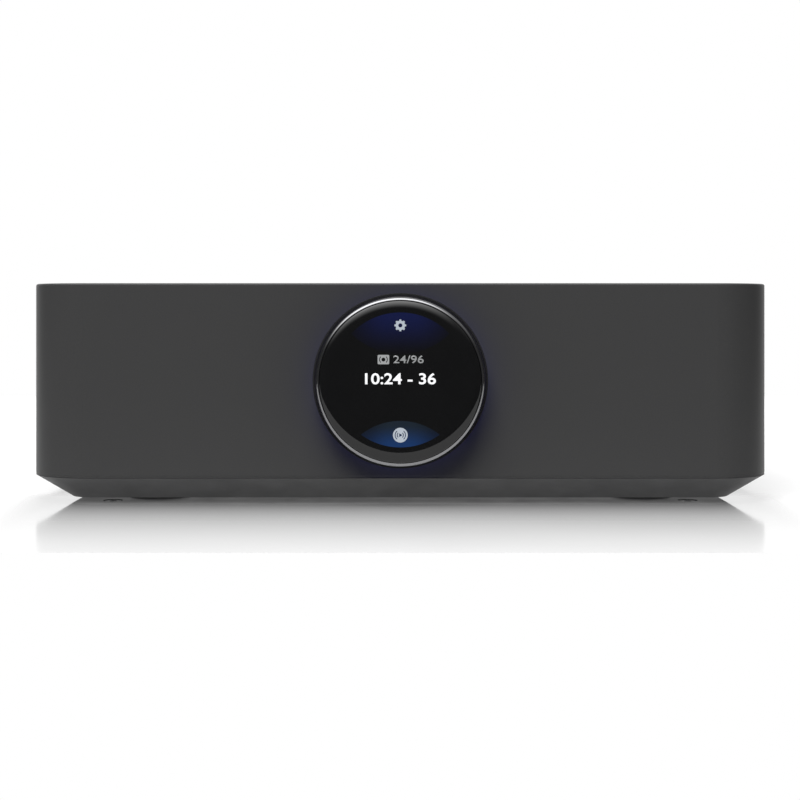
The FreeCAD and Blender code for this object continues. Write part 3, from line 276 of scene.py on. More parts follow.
@dataclass(frozen=True)
class Finish:
    """One plain finish: its colour, its gloss and its fine structure, in millimetres."""

    name: str
    colour: Colour
    roughness: float = 0.5
    metallic: float = 0.0
    surface: Surface = Surface.GRAIN
    grain: float = 0.4
    depth: float = 0.006
    spread: float = 0.1
    coat: float = 0.0
    specular: float = 0.5
    glow: float = 0.0
    glow_colour: Colour = WHITE

    def desk(self) -> NodeDesk:
        """Start this finish's material.

        Returns:
            Its desk, with the numbers set that are the same all over the surface.
        """
        desk = NodeDesk(self.name)
        desk.put_in("Metallic", self.metallic)
        desk.put_in("Specular IOR Level", self.specular)
        desk.put_in("Coat Weight", self.coat)
        desk.put_in("Coat Roughness", 0.08)
        desk.shader.inputs["Emission Color"].default_value = (*self.glow_colour, 1.0)
        desk.put_in("Emission Strength", self.glow)
        return desk

    def shade(self, factor: float) -> Colour:
        """This finish's colour, made lighter or darker."""
        return tuple(min(1.0, part * factor) for part in self.colour)

    def mottled(self, desk: NodeDesk, noise: Socket, kind: str = "SMOOTHSTEP") -> Socket:
        """This finish's colour, spread a little to both sides by a noise."""
        share = desk.over_noise(noise, 0.0, 1.0, kind)
        return desk.blend(share, self.shade(1.0 - self.spread), self.shade(1.0 + self.spread))

    def material(self) -> Material:
        """Build the node material.

        Returns:
            A material whose colour, gloss and height vary over the surface.
        """
        desk = self.desk()
        per_metre = 1.0 / (self.grain * MM)
        fine = desk.noise(per_metre, 2.0, STRETCH.get(self.surface, EVEN))
        broad = desk.noise(per_metre / 24.0, 2.0)
        tone = desk.sum("ADD", desk.times(fine, 0.5), desk.times(broad, 0.5))
        colour = self.mottled(desk, tone, "LINEAR")
        if self.surface is Surface.BOARD:
            colour = self.tracks(desk, colour)
        desk.put_in("Base Color", colour)
        low, high = self.roughness * 0.9, min(1.0, self.roughness * 1.1)
        desk.put_in("Roughness", desk.over_noise(broad, low, high, "LINEAR"))
        if self.surface is not Surface.SMOOTH:
            desk.bump(fine, self.depth)
        return desk.material

    def tracks(self, desk: NodeDesk, colour: Socket) -> Socket:
        """Lighter copper tracks under a board's solder mask.

        Args:
            desk: the material's nodes.
            colour: the mask's colour.

        Returns:
            The colour with tracks in it.
        """
        bricks = desk.add("TexBrick", offset=0.5)
        bricks.inputs["Scale"].default_value = 260.0
        bricks.inputs["Mortar Size"].default_value = 0.06
        desk.put(desk.add("TexCoord").outputs["Object"], bricks.inputs["Vector"])
        return desk.blend(bricks.outputs["Fac"], colour, self.shade(1.7))


@dataclass(frozen=True)
class CasePaint(Finish):
    """Fine matt paint, with painted blue light from the dial and a faint painted shade round the dial on the
    front wall.
    """

    # Painted light: the front wall's paint itself glows blue near the dial, in this colour.
    glow_colour: Colour = (0.06, 0.06, 1.0)
    dial_edge: float = 24.0
    painted_glow_strength: float = 0.019
    painted_glow_reach: float = 3.8
    # Painted shade: how dark, and how far out, the paint is darkened round the dial.
    painted_shade_depth: float = 0.24
    painted_shade_reach: float = 9.0
    front: float = -104.4

    def material(self) -> Material:
        """Build the paint.

        Returns:
            A material with painted light and painted shade that fade away from the dial.
        """
        desk = self.desk()
        fine = desk.noise(2600.0)
        colour = self.mottled(desk, fine, "LINEAR")
        gloss = desk.over_noise(desk.noise(40.0, 2.0), self.roughness * 0.99, self.roughness * 1.01)
        desk.put_in("Roughness", gloss)
        desk.bump(fine, self.depth)
        reach, y = desk.off_axis()
        past = desk.minus(reach, self.dial_edge * MM)
        on_front = desk.sum("LESS_THAN", y, self.front * MM)
        # Painted shade: the base colour is darkened near the dial on the front wall, where the ring shades
        # it.
        painted_shade = desk.times(desk.decay(past, self.painted_shade_reach * MM), self.painted_shade_depth)
        painted_shade = desk.times(desk.sum("MINIMUM", painted_shade, self.painted_shade_depth), on_front)
        desk.put_in("Base Color", desk.blend(painted_shade, colour, BLACK))
        # Painted light: the paint emits the blue glow near the dial on the front wall.
        light = desk.times(desk.decay(past, self.painted_glow_reach * MM), self.painted_glow_strength)
        desk.put_in("Emission Strength", desk.times(light, on_front))
        return desk.material


@dataclass(frozen=True)
class TurnedMetal(Finish):
    """Metal turned about the dial's axis, with faint rings, and a painted dark shade on its side behind a
    given y.
    """

    pitch: float = 0.12
    # Behind this y the side is painted near black, a painted dark reflection and shade.
    painted_shade_behind: float | None = None
    shaded_side_colour: Colour = (0.012, 0.012, 0.013)
    side_roughness: float = 0.35

    def material(self) -> Material:
        """Build the metal.

        Returns:
            A material with fine rings in its height and its gloss.
        """
        desk = self.desk()
        reach, y = desk.off_axis()
        rings = desk.add("TexNoise", noise_dimensions="1D")
        rings.inputs["Scale"].default_value = 1.0
        rings.inputs["Detail"].default_value = 3.0
        desk.put(desk.times(reach, 1.0 / (self.pitch * MM)), rings.inputs["W"])
        colour = self.mottled(desk, desk.noise(60.0, 2.0))
        gloss = desk.ramp(rings.outputs[0], 0.2, 0.8, self.roughness * 0.8, self.roughness * 1.2)
        # Painted shade: behind the given y the ring's side is coloured near black, for the dark it mirrors
        # and the shade at its base.
        if self.painted_shade_behind is not None:
            cut = desk.sum("LESS_THAN", y, self.painted_shade_behind * MM)
            colour = desk.blend(cut, self.shaded_side_colour, colour)
            gloss = desk.mix(cut, self.side_roughness, gloss)
        desk.put_in("Base Color", colour)
        desk.put_in("Roughness", gloss)
        desk.bump(rings.outputs[0], self.depth, 0.3)
        return desk.material


@dataclass(frozen=True)
class ScreenLight(Finish):
    """A field of light in the picture, sized in its pixels from the dial's axis."""

    colour: Colour = (0.003, 0.003, 0.004)
    roughness: float = 0.1
    low_colour: Colour = BLACK
    high_colour: Colour = WHITE
    low: float = 0.0
    high: float = 0.0
    wide: float = 0.0
    end_share: float = 0.0

    def material(self) -> Material:
        """Build the glow.

        Returns:
            A material that shines from the low colour to the high one, weaker towards its two ends.
        """
        desk = self.desk()
        x, _, z = desk.place()
        low, high = ((DIAL_HEIGHT + rise * PIXEL) * MM for rise in (self.low, self.high))
        share = desk.ramp(z, low, high, 0.0, 1.0)
        grain = desk.over_noise(desk.noise(9000.0, 0.0), 0.94, 1.06, "LINEAR")
        wide = self.wide * PIXEL * MM
        ends = desk.ramp(desk.sum("ABSOLUTE", x), 0.2 * wide, wide, 1.0, self.end_share)
        desk.put_in("Emission Color", desk.blend(share, self.low_colour, self.high_colour))
        desk.put_in("Emission Strength", desk.times(grain, ends))
        desk.shader.inputs["Base Color"].default_value = (*self.colour, 1.0)
        desk.put_in("Roughness", self.roughness)
        return desk.material


@dataclass(frozen=True)
class SocketPlastic(Finish):
    """Insulators that are white, red or black, by where each one sits."""

    split_x: float = -23.5
    split_z: float = 34.0
    right_colour: Colour = (0.45, 0.02, 0.02)
    spare_colour: Colour = (0.03, 0.03, 0.03)

    def material(self) -> Material:
        """Build the plastic.

        Returns:
            One material whose colour changes from socket to socket.
        """
        desk = self.desk()
        x, _, z = desk.place()
        grain = desk.noise(3000.0, 2.0)
        plain = desk.blend(desk.over_noise(grain, 0.0, 1.0), self.shade(0.94), self.shade(1.04))
        lower = desk.blend(desk.sum("LESS_THAN", z, self.split_z * MM), plain, self.right_colour)
        spare = desk.blend(desk.sum("GREATER_THAN", x, self.split_x * MM), lower, self.spare_colour)
        desk.put_in("Base Color", spare)
        desk.put_in("Roughness", self.roughness)
        desk.bump(grain, self.depth)
        return desk.material


def sign(name: str, grey: float, glow: float, glow_colour: Colour) -> Finish:
    """A smooth sign of the picture that shines evenly."""
    return Finish(name, (grey, grey, grey), 0.2, surface=Surface.SMOOTH, glow=glow, glow_colour=glow_colour)


CASE_PAINT = CasePaint("case_paint", (0.0448, 0.0448, 0.0451), 0.43, depth=0.010, spread=0.05,
                       specular=0.16)
BASE_PLASTIC = Finish("base_plastic", (0.022, 0.022, 0.023), grain=0.35, depth=0.008, spread=0.05,
                      specular=0.35)
RUBBER = Finish("foot_rubber", (0.018, 0.018, 0.019), 0.75, grain=0.5, depth=0.02)
BLACK_SCREW = Finish("screw_black", (0.028, 0.028, 0.030), 0.38, 0.6, Surface.DRAWN, 0.2, 0.003)
PANEL_PLASTIC = Finish("panel_plastic", (0.024, 0.024, 0.025), 0.55, grain=0.5, depth=0.014)
# The ring's side behind y -112.06 is painted near black as shade.
RING_METAL = TurnedMetal("ring_metal", (0.22, 0.22, 0.227), 0.12, 1.0, depth=0.0006, spread=0.04,
                         painted_shade_behind=-112.06)
MAGNET = Finish("magnet", (0.08, 0.08, 0.085), 0.6, grain=0.3, depth=0.01)
BEARING = Finish("bearing", (0.72, 0.71, 0.67), 0.4, grain=0.6, depth=0.003)
HUB_METAL = TurnedMetal("hub_metal", (0.55, 0.55, 0.56), 0.3, 1.0, depth=0.002)
CARRIER = Finish("carrier_black", (0.012, 0.012, 0.013), 0.45)
COVER_GLASS = Finish("cover_glass", (0.0040, 0.0041, 0.0044), 0.05, surface=Surface.SMOOTH, spread=0.15,
                     specular=0.42)
# Near black: a thin ring of painted shade round the dial's base.
DIAL_SHADOW_RING = Finish("dial_shadow_ring", (0.010, 0.010, 0.011), 0.7, grain=0.3, depth=0.01, specular=0.2)
SCREEN = Finish("screen", (0.004, 0.004, 0.006), 0.2, surface=Surface.SMOOTH)
BOARD = Finish("board_green", (0.016, 0.075, 0.035), 0.35, surface=Surface.BOARD, grain=0.5, depth=0.01)
LAMP = Finish("lamp", (0.7, 0.7, 0.62), 0.3, depth=0.004, glow=0.6, glow_colour=(0.2, 0.3, 1.0))
LIGHT_GUIDE = Finish("light_guide", (0.55, 0.6, 0.75), 0.4, grain=0.6, depth=0.004, glow=0.35,
                     glow_colour=(0.10, 0.16, 1.0))
RIBBON = Finish("ribbon", (0.62, 0.55, 0.40), 0.35, surface=Surface.DRAWN, grain=0.9, depth=0.01)
BLACK_PLASTIC = Finish("black_plastic", (0.020, 0.020, 0.021), 0.42, grain=0.45, depth=0.008)
RED_PLASTIC = Finish("red_plastic", (0.42, 0.015, 0.015), 0.34, grain=0.45)
NICKEL = Finish("nickel", (0.62, 0.60, 0.57), 0.26, 1.0, Surface.DRAWN, 0.25, 0.002)
GOLD = Finish("gold_plate", (0.83, 0.60, 0.24), 0.22, 1.0, Surface.DRAWN, 0.3, 0.002)
TINNED = Finish("tinned_steel", (0.58, 0.58, 0.58), 0.32, 1.0, Surface.DRAWN, 0.25, 0.003)
INSULATOR = SocketPlastic("insulator", (0.75, 0.75, 0.73), 0.4, depth=0.004)
BUTTON_PLASTIC = Finish("button_plastic", (0.045, 0.045, 0.047), 0.4, grain=0.3)
SINK_METAL = Finish("sink_metal", (0.50, 0.50, 0.51), 0.4, 1.0, Surface.DRAWN, 0.3)
CHIP = Finish("chip", (0.022, 0.022, 0.023), 0.6, grain=0.2, depth=0.01)
THERMAL_PAD = Finish("thermal_pad", (0.35, 0.37, 0.42), 0.8, grain=0.5, depth=0.02)
FERRITE = Finish("ferrite", (0.045, 0.045, 0.048), 0.55, depth=0.02)
WINDING = Finish("winding", (0.60, 0.42, 0.06), 0.35, surface=Surface.WOUND, grain=0.6, depth=0.05)
CAN = Finish("capacitor_can", (0.025, 0.030, 0.075), 0.3, surface=Surface.DRAWN, grain=0.6, depth=0.003)
COPPER = Finish("copper", (0.55, 0.22, 0.10), 0.3, 0.9, Surface.WOUND, 0.7, 0.05)
FUSE = Finish("fuse_body", (0.62, 0.66, 0.66), 0.12, grain=0.8, depth=0.004, coat=0.6)
WIRE = Finish("wire", (0.42, 0.02, 0.02), 0.4, surface=Surface.DRAWN, grain=0.6, depth=0.02)
SIGN_INK = Finish("sign_ink", (0.55, 0.55, 0.55), 0.6, grain=0.3, depth=0.004)
GREEN_LENS = Finish("green_lens", (0.05, 0.30, 0.07), 0.2, grain=0.3, depth=0.002)
AMBER_LENS = Finish("amber_lens", (0.45, 0.20, 0.02), 0.2, grain=0.3, depth=0.002)
WHITE_SIGN = sign("white_sign", 0.05, 0.98, (0.97, 0.98, 1.0))
GREY_SIGN = sign("grey_sign", 0.02, 0.27, (0.96, 0.99, 1.0))
TILE_SIGN = sign("tile_sign", 0.02, 0.35, (0.96, 0.99, 1.0))
PALE_SIGN = sign("pale_sign", 0.03, 0.54, (0.80, 0.89, 1.0))
LOWER_LIGHT = ScreenLight("lower_glow_light", low_colour=(0.005, 0.031, 0.118), low=-66.0,
                          high_colour=(0.007, 0.014, 0.023), high=-42.0, wide=40.0, end_share=0.3)
UPPER_LIGHT = ScreenLight("upper_glow_light", low=26.0, high_colour=(0.0020, 0.0052, 0.046), high=72.0,
                          wide=60.0)


@cache
def material_of(finish: Finish) -> Material:
    """A finish's material, made once."""
    return finish.material()


def paint(piece: Piece, finish: Finish) -> None:
    """Put a finish on a piece, and on nothing else."""
    piece.data.materials.clear()
    piece.data.materials.append(material_of(finish))


# Modelling by hand. Lengths are in millimetres.


class Pick(Enum):
    """What a selection in edit mode is made of."""

    EDGES = "EDGE"
    FACES = "FACE"


Test = Callable[[Vector, Vector], bool]


def clear_selection() -> None:
    """Deselect every object."""
    bpy.ops.object.select_all(action="DESELECT")


def take(piece: Piece) -> None:
    """Select one piece alone and make it active.

    Args:
        piece: the piece.
    """
    clear_selection()
    piece.select_set(True)
    bpy.context.view_layer.objects.active = piece


def newest(name: str) -> Piece:
    """Name the primitive that was just added, and put its place, turn and size into its mesh.

    Args:
        name: the piece's name.

    Returns:
        The piece.
    """
    piece = bpy.context.object
    piece.name = name
    piece.data.name = name
    take(piece)
    bpy.ops.object.transform_apply(location=True, rotation=True, scale=True)
    return piece


@contextmanager
def editing(piece: Piece) -> Iterator[None]:
    """Edit mode on one piece, with nothing of it selected at the start.

    Args:
        piece: the piece.

    Returns:
        A context for the edit.
    """
    take(piece)
    bpy.ops.object.mode_set(mode="EDIT")
    bpy.ops.mesh.select_all(action="DESELECT")
    yield
    bpy.ops.object.mode_set(mode="OBJECT")


def heal(apart: float = 0.0) -> None:
    """Turn the faces of the piece in edit mode outwards, after its doubles are merged.

    Args:
        apart: how far doubles may lie apart. At zero none are merged.
    """
    bpy.ops.mesh.select_all(action="SELECT")
    if apart:
        bpy.ops.mesh.remove_doubles(threshold=apart * MM)
    bpy.ops.mesh.normals_make_consistent(inside=False)


def pick(piece: Piece, kind: Pick, test: Test) -> None:
    """Select the edges or the faces that pass a test, in edit mode.

    Args:
        piece: the piece in edit mode.
        kind: edges or faces.
        test: takes a place, and an edge's run or a face's normal.
    """
    bpy.ops.mesh.select_mode(type=kind.value)
    bpy.ops.mesh.select_all(action="DESELECT")
    mesh = bmesh.from_edit_mesh(piece.data)
    mesh.normal_update()
    if kind is Pick.FACES:
        items = [(face, face.calc_center_median(), face.normal) for face in mesh.faces]
    else:
        items = [(edge, (edge.verts[0].co + edge.verts[1].co) / 2,
                  (edge.verts[1].co - edge.verts[0].co).normalized()) for edge in mesh.edges]
    for item, place, direction in items:
        if test(place, direction):
            item.select_set(True)
    bmesh.update_edit_mesh(piece.data)


def drop(tool: Piece) -> None:
    """Delete a tool that has done its work.

    Args:
        tool: the tool.
    """
    mesh = tool.data
    bpy.data.objects.remove(tool)
    if mesh.users == 0:
        bpy.data.meshes.remove(mesh)


def cuboid(name: str, low: Sequence[float], high: Sequence[float]) -> Piece:
    """A cube primitive stretched between two corners.

    Args:
        name: the piece's name.
        low: the lowest corner.
        high: the highest corner.

    Returns:
        The piece.
    """
    clear_selection()
    centre = [(a + b) / 2 * MM for a, b in zip(low, high)]
    size = [(b - a) * MM for a, b in zip(low, high)]
    bpy.ops.mesh.primitive_cube_add(size=1.0, location=centre, scale=size)
    return newest(name)


def disc(name: str, centre: Sequence[float], radius: float, depth: float, points: int = 64,
         upright: bool = False) -> Piece:
    """A cylinder primitive whose axis runs along Y, or along Z when upright.

    Args:
        name: the piece's name.
        centre: its middle.
        radius: its radius.
        depth: its length along the axis.
        points: how many corners it has.
        upright: whether the axis is Z.

    Returns:
        The piece.
    """
    clear_selection()
    bpy.ops.mesh.primitive_cylinder_add(vertices=points, radius=radius * MM, depth=depth * MM,
                                        location=[part * MM for part in centre],
                                        rotation=(0.0 if upright else math.pi / 2, 0.0, 0.0))
    return newest(name)


def turned(name: str, outline: Outline, centre: Sequence[float], steps: int, limit: float = 0.0,
           upright: bool = False) -> Piece:
    """Spin an outline about an axis along Y, or along Z when upright.

    Args:
        name: the piece's name.
        outline: points as (along the axis, radius). A closed outline ends where it starts.
        centre: the axis's zero point.
        steps: how many steps make the full turn.
        limit: the angle in degrees below which edges are shaded smooth. At zero none are.
        upright: whether the axis is Z.

    Returns:
        The piece.
    """
    clear_selection()
    axis = Vector((0, 0, 1)) if upright else Vector((0, 1, 0))
    middle = Vector(centre) * MM
    places = [middle + axis * (along * MM) + Vector((radius * MM, 0, 0)) for along, radius in outline]
    bpy.ops.mesh.primitive_plane_add(size=MM, location=places[0])
    piece = newest(name)
    with editing(piece):
        bpy.ops.mesh.select_mode(type="VERT")
        bpy.ops.mesh.select_all(action="SELECT")
        bpy.ops.mesh.merge(type="CENTER")
        for start, finish in zip(places, places[1:]):
            bpy.ops.mesh.extrude_region_move(TRANSFORM_OT_translate={"value": finish - start})
        bpy.ops.mesh.select_all(action="SELECT")
        bpy.ops.mesh.spin(steps=steps, angle=math.tau, center=middle, axis=axis)
        heal(0.002)
    return smooth(piece, limit) if limit else piece


def apply_all(piece: Piece) -> None:
    """Apply every modifier of a piece, in order.

    Args:
        piece: the piece.
    """
    take(piece)
    for name in [modifier.name for modifier in piece.modifiers]:
        bpy.ops.object.modifier_apply(modifier=name)


def carve(piece: Piece, tool: Piece, kind: str = "DIFFERENCE") -> None:
    """Cut a piece with a tool, and delete the tool.

    Args:
        piece: what is cut.
        tool: the tool.
        kind: the Boolean modifier's operation.
    """
    modifier = piece.modifiers.new("carve", "BOOLEAN")
    modifier.operation = kind
    modifier.solver = "EXACT"
    modifier.object = tool
    apply_all(piece)
    drop(tool)


def soften(piece: Piece, width: float, segments: int = 2, limit: float = 35.0) -> None:
    """Bevel the sharp edges of a piece.

    Args:
        piece: the piece.
        width: the bevel's width.
        segments: how many faces lie across it.
        limit: the angle in degrees from which an edge is sharp.
    """
    modifier = piece.modifiers.new("soften", "BEVEL")
    modifier.width = width * MM
    modifier.segments = segments
    modifier.limit_method = "ANGLE"
    modifier.angle_limit = math.radians(limit)
    apply_all(piece)


def smooth(piece: Piece, limit: float) -> Piece:
    """Shade a piece smooth, except across its sharp edges, with flat faces kept flat.

    Args:
        piece: the piece.
        limit: the angle in degrees from which an edge is sharp.

    Returns:
        The piece.
    """
    take(piece)
    bpy.ops.object.shade_smooth_by_angle(angle=math.radians(limit))
    modifier = piece.modifiers.new("flats", "WEIGHTED_NORMAL")
    modifier.keep_sharp = True
    apply_all(piece)
    return piece


def copied(piece: Piece, name: str, shift: Sequence[float]) -> Piece:
    """A copy of a piece with its own mesh.

    Args:
        piece: the piece.
        name: the copy's name.
        shift: how far it is moved.

    Returns:
        The copy.
    """
    twin = piece.copy()
    twin.data = piece.data.copy()
    twin.name = name
    twin.data.name = name
    bpy.context.scene.collection.objects.link(twin)
    twin.data.transform(Matrix.Translation(Vector(shift) * MM))
    return twin


def join(pieces: Sequence[Piece], name: str) -> Piece:
    """Join several pieces into the first one.

    Args:
        pieces: the pieces.
        name: the joined piece's name.

    Returns:
        The joined piece.
    """
    clear_selection()
    for piece in pieces:
        piece.select_set(True)
    bpy.context.view_layer.objects.active = pieces[0]
    bpy.ops.object.join()
    pieces[0].name = name
    return pieces[0]


def in_four_corners(first: Piece, name: str, node: str, inset: float) -> Piece:
    """Copy a piece in the first corner of a CAD node's box to the other three, and join the four.

    Args:
        first: the piece in the corner with the lowest x and y.
        name: the joined piece's name.
        node: the CAD node.
        inset: how far the pieces' middles lie inside the box.

    Returns:
        The joined piece.
    """
    low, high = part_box(node)
    reach_x = (high.x - low.x) / MM - 2 * inset
    reach_y = (high.y - low.y) / MM - 2 * inset
    shifts = ((reach_x, 0, 0), (0, reach_y, 0), (reach_x, reach_y, 0))
    copies = [copied(first, f"{name}_{number}", shift) for number, shift in enumerate(shifts)]
    return join([first] + copies, name)


def written(name: str, words: str, middle: Sequence[float], height: float, width: float,
            weight: float, depth: float, back: bool = False) -> Piece:
    """Plain figures as a thin solid in a plane across Y.

    Args:
        name: the piece's name.
        words: the figures.
        middle: where their middle goes.
        height: the height of a figure.
        width: the width of the whole.
        weight: how much each stroke is thickened, as a share of the text's size.
        depth: how thick the solid is.
        back: whether they are read from behind.

    Returns:
        The piece.
    """
    clear_selection()
    bpy.ops.object.text_add()
    item = bpy.context.object
    item.data.body = words
    item.data.offset = weight
    item.data.resolution_u = 4
    take(item)
    bpy.ops.object.convert(target="MESH")
    item = bpy.context.object
    item.name = name
    corners = [point.co for point in item.data.vertices]
    low = Vector([min(corner[axis] for corner in corners) for axis in range(3)])
    high = Vector([max(corner[axis] for corner in corners) for axis in range(3)])
    size = high - low
    shrink = Matrix.Diagonal((width * MM / size.x, height * MM / size.y, 1.0, 1.0))
    stand = Matrix.Rotation(math.pi / 2, 4, "X")
    if back:
        stand = Matrix.Rotation(math.pi, 4, "Z") @ stand
    place = Matrix.Translation(Vector(middle) * MM)
    item.data.transform(place @ stand @ shrink @ Matrix.Translation(-(low + high) / 2))
    modifier = item.modifiers.new("thickness", "SOLIDIFY")
    modifier.thickness = depth * MM
    modifier.offset = 0.0
    apply_all(item)
    with editing(item):
        heal(0.0005)
    return item


def done(piece: Piece, finish: Finish, body: str, slot: str, *nodes: str) -> None:
    """Paint a piece, say what it rides on and what it stands for, and log it.

    Args:
        piece: the finished piece.
        finish: its finish.
        body: the CAD body that it rides on.
        slot: the record's material slot. It is not used.
        nodes: the CAD nodes that it replaces.
    """
    paint(piece, finish)
    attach(piece, body)
    if nodes:
        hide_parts(*nodes)
    LOG.info("%s: %d faces on %s", piece.name, len(piece.data.polygons), body)


def node_box(node: str) -> tuple[Vector, Vector]:
    """The two corners of a CAD node's box, in millimetres."""
    low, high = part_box(node)
    return low / MM, high / MM


def node_centre(node: str) -> Vector:
    """The middle of a CAD node's box, in millimetres."""
    low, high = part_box(node)
    return (low + high) / (2 * MM)


# The studio. Lengths are in metres.


@dataclass
class Lamp:
    """One soft rectangular light that looks at a point. Gloss shows it only when it is mirrored."""

    name: str
    place: Place
    target: Place
    width: float
    height: float
    strength: float
    mirrored: bool = False

    def hang(self) -> None:
        """Make the light, with its strength as the radiance of its face."""
        data = bpy.data.lights.new(self.name, "AREA")
        data.shape = "RECTANGLE"
        data.size = self.width
        data.size_y = self.height
        data.energy = self.strength * math.pi * self.width * self.height
        if self.mirrored:
            self.fade(data)
        lamp = bpy.data.objects.new(self.name, data)
        lamp.visible_glossy = self.mirrored
        lamp.visible_diffuse = not self.mirrored
        bpy.context.scene.collection.objects.link(lamp)
        lamp.location = self.place
        run = Vector(self.target) - Vector(self.place)
        lamp.rotation_euler = run.to_track_quat("-Z", "Y").to_euler()

    def fade(self, data: bpy.types.AreaLight) -> None:
        """Let a light fade towards its lower edge and its two ends.

        Args:
            data: the light.
        """
        data.use_nodes = True
        desk = Desk(data.node_tree)
        x, y, _ = desk.split(desk.add("NewGeometry").outputs["Parametric"])
        ends = desk.sum("ABSOLUTE", desk.minus(x, 0.5))
        across = desk.ramp(ends, 0.1, 0.5, 1.0, 0.0)
        up = desk.ramp(y, 0.0, 0.7, 0.0, 1.0)
        emission = data.node_tree.nodes["Emission"]
        desk.put(desk.times(across, up), emission.inputs["Strength"])


@dataclass
class Studio:
    """Camera, lights, pale floor and the surroundings."""

    case_front: float = -0.105
    distance: float = 0.445
    camera_height: float = 0.0526
    lens: float = 71.74
    shift_x: float = -0.0004
    shift_y: float = -0.104
    floor_front: float = -0.1948
    floor_back: float = 0.5
    floor_half_width: float = 0.45
    floor_grey: tuple[float, float] = (0.29, 0.30)
    floor_white: float = 0.68
    far_white: float = 0.88
    white_reach: tuple[float, float] = (0.05, 0.25)
    object_half: float = 0.0945
    gloss: float = 0.985
    gloss_reach: float = 0.070
    gloss_side: tuple[float, float] = (0.004, 0.022)
    gloss_end: tuple[float, float] = (-0.085, -0.070)
    gloss_roughness: tuple[float, float] = (0.05, 0.22)
    fill: float = 0.05
    bounce: float = 0.27
    dark: float = 0.10
    horizon: float = 0.06
    side_ramp: tuple[float, float, float, float] = (0.3, 0.9, 1.15, 0.1)
    lamps: tuple[Lamp, ...] = (
        Lamp("key", (-0.24, -0.98, 1.50), (0.0, -0.10, 0.03), 1.1, 1.2, 13.4),
        Lamp("softbox", (-0.36, -0.76, 1.02), (-0.2, -0.11, 0.04), 2.9, 1.75, 4.6, True),
        Lamp("top", (0.0, 0.05, 1.1), (0.0, 0.05, 0.0), 0.9, 0.7, 0.5),
        Lamp("rear", (0.35, 1.0, 0.62), (0.0, 0.1, 0.03), 0.8, 0.5, 2.4),
    )

    def build(self) -> None:
        """Set the camera, the lights, the floor and the world."""
        self.set_camera()
        for lamp in self.lamps:
            lamp.hang()
        self.lay_floor()
        self.set_world()
        bpy.context.scene.view_settings.view_transform = "Standard"

    def set_camera(self) -> None:
        """Put the camera level before the front, with the shift that the framing needs."""
        data = bpy.data.cameras.new("camera")
        data.lens = self.lens
        data.sensor_width = 36.0
        data.shift_x = self.shift_x
        data.shift_y = self.shift_y
        camera = bpy.data.objects.new("camera", data)
        bpy.context.scene.collection.objects.link(camera)
        camera.location = (0.0, self.case_front - self.distance, self.camera_height)
        camera.rotation_euler = (math.pi / 2, 0.0, 0.0)
        bpy.context.scene.camera = camera

    def lay_floor(self) -> None:
        """Lay a pale floor with a soft gloss in front of the object."""
        clear_selection()
        depth = self.floor_back - self.floor_front
        bpy.ops.mesh.primitive_plane_add(size=1.0, location=(0.0, self.floor_front + depth / 2, 0.0))
        bpy.context.object.scale = (2 * self.floor_half_width, depth, 1.0)
        floor = newest("floor")
        desk = NodeDesk("floor_white")
        x, y, _ = desk.place()
        aside, along = (desk.sum("MAXIMUM", desk.minus(desk.sum("ABSOLUTE", part),
                                                     self.object_half), 0.0) for part in (x, y))
        away = desk.length(aside, along)
        path = desk.add("LightPath").outputs
        seen = desk.sum("MAXIMUM", path["Is Camera Ray"], path["Is Glossy Ray"])
        seen = desk.sum("MAXIMUM", seen, path["Is Transmission Ray"])
        white = desk.ramp(away, *self.white_reach, self.floor_white, self.far_white)
        dark, light = ((grey, grey, grey) for grey in self.floor_grey)
        desk.put_in("Base Color", desk.blend(desk.over_noise(desk.noise(30.0), 0.0, 1.0), dark, light))
        desk.put_in("Roughness", 0.9)
        desk.put_in("Specular IOR Level", 0.0)
        desk.shader.inputs["Emission Color"].default_value = (*WHITE, 1.0)
        desk.put_in("Emission Strength", desk.times(seen, white))
        share = desk.decay(along, self.gloss_reach)
        share = desk.times(share, desk.ramp(aside, *self.gloss_side, self.gloss, 0.0))
        share = desk.times(share, desk.ramp(y, *self.gloss_end, 1.0, 0.0))
        share = desk.times(share, path["Is Camera Ray"])
        gloss = desk.add("BsdfGlossy")
        roughness = desk.ramp(away, 0.0, 2 * self.gloss_reach, *self.gloss_roughness)
        desk.put(roughness, gloss.inputs["Roughness"])
        mix = desk.feed(desk.add("MixShader"), share, desk.shader.outputs[0], gloss.outputs[0])
        desk.put(mix, desk.output.inputs["Surface"])
        floor.data.materials.append(desk.material)

    def set_world(self) -> None:
        """White for the camera, soft for the object, and dark in front for what it mirrors."""
        world = bpy.data.worlds.new("studio")
        bpy.context.scene.world = world
        world.use_nodes = True
        world.node_tree.nodes.clear()
        desk = Desk(world.node_tree)
        x, y, z = desk.split(desk.add("TexCoord").outputs["Generated"])
        sideways = desk.ramp(desk.sum("ABSOLUTE", x), *self.side_ramp)
        upwards = desk.ramp(z, -self.horizon, self.horizon, self.bounce, self.fill)
        behind = desk.ramp(y, 0.3, 0.85, self.dark, 1.0)
        above = desk.ramp(z, 0.3, 1.0, 0.0, 0.9, "LINEAR")
        path = desk.add("LightPath").outputs
        mirrored = desk.mix(path["Is Glossy Ray"], desk.times(upwards, sideways),
                            desk.sum("MAXIMUM", behind, above))
        seen = desk.sum("MAXIMUM", path["Is Camera Ray"], path["Is Transmission Ray"])
        back = desk.add("Background")
        back.inputs["Color"].default_value = (*WHITE, 1.0)
        desk.put(desk.mix(seen, mirrored, 1.0), back.inputs["Strength"])
        desk.put(back.outputs[0], desk.add("OutputWorld").inputs["Surface"])


# The dial


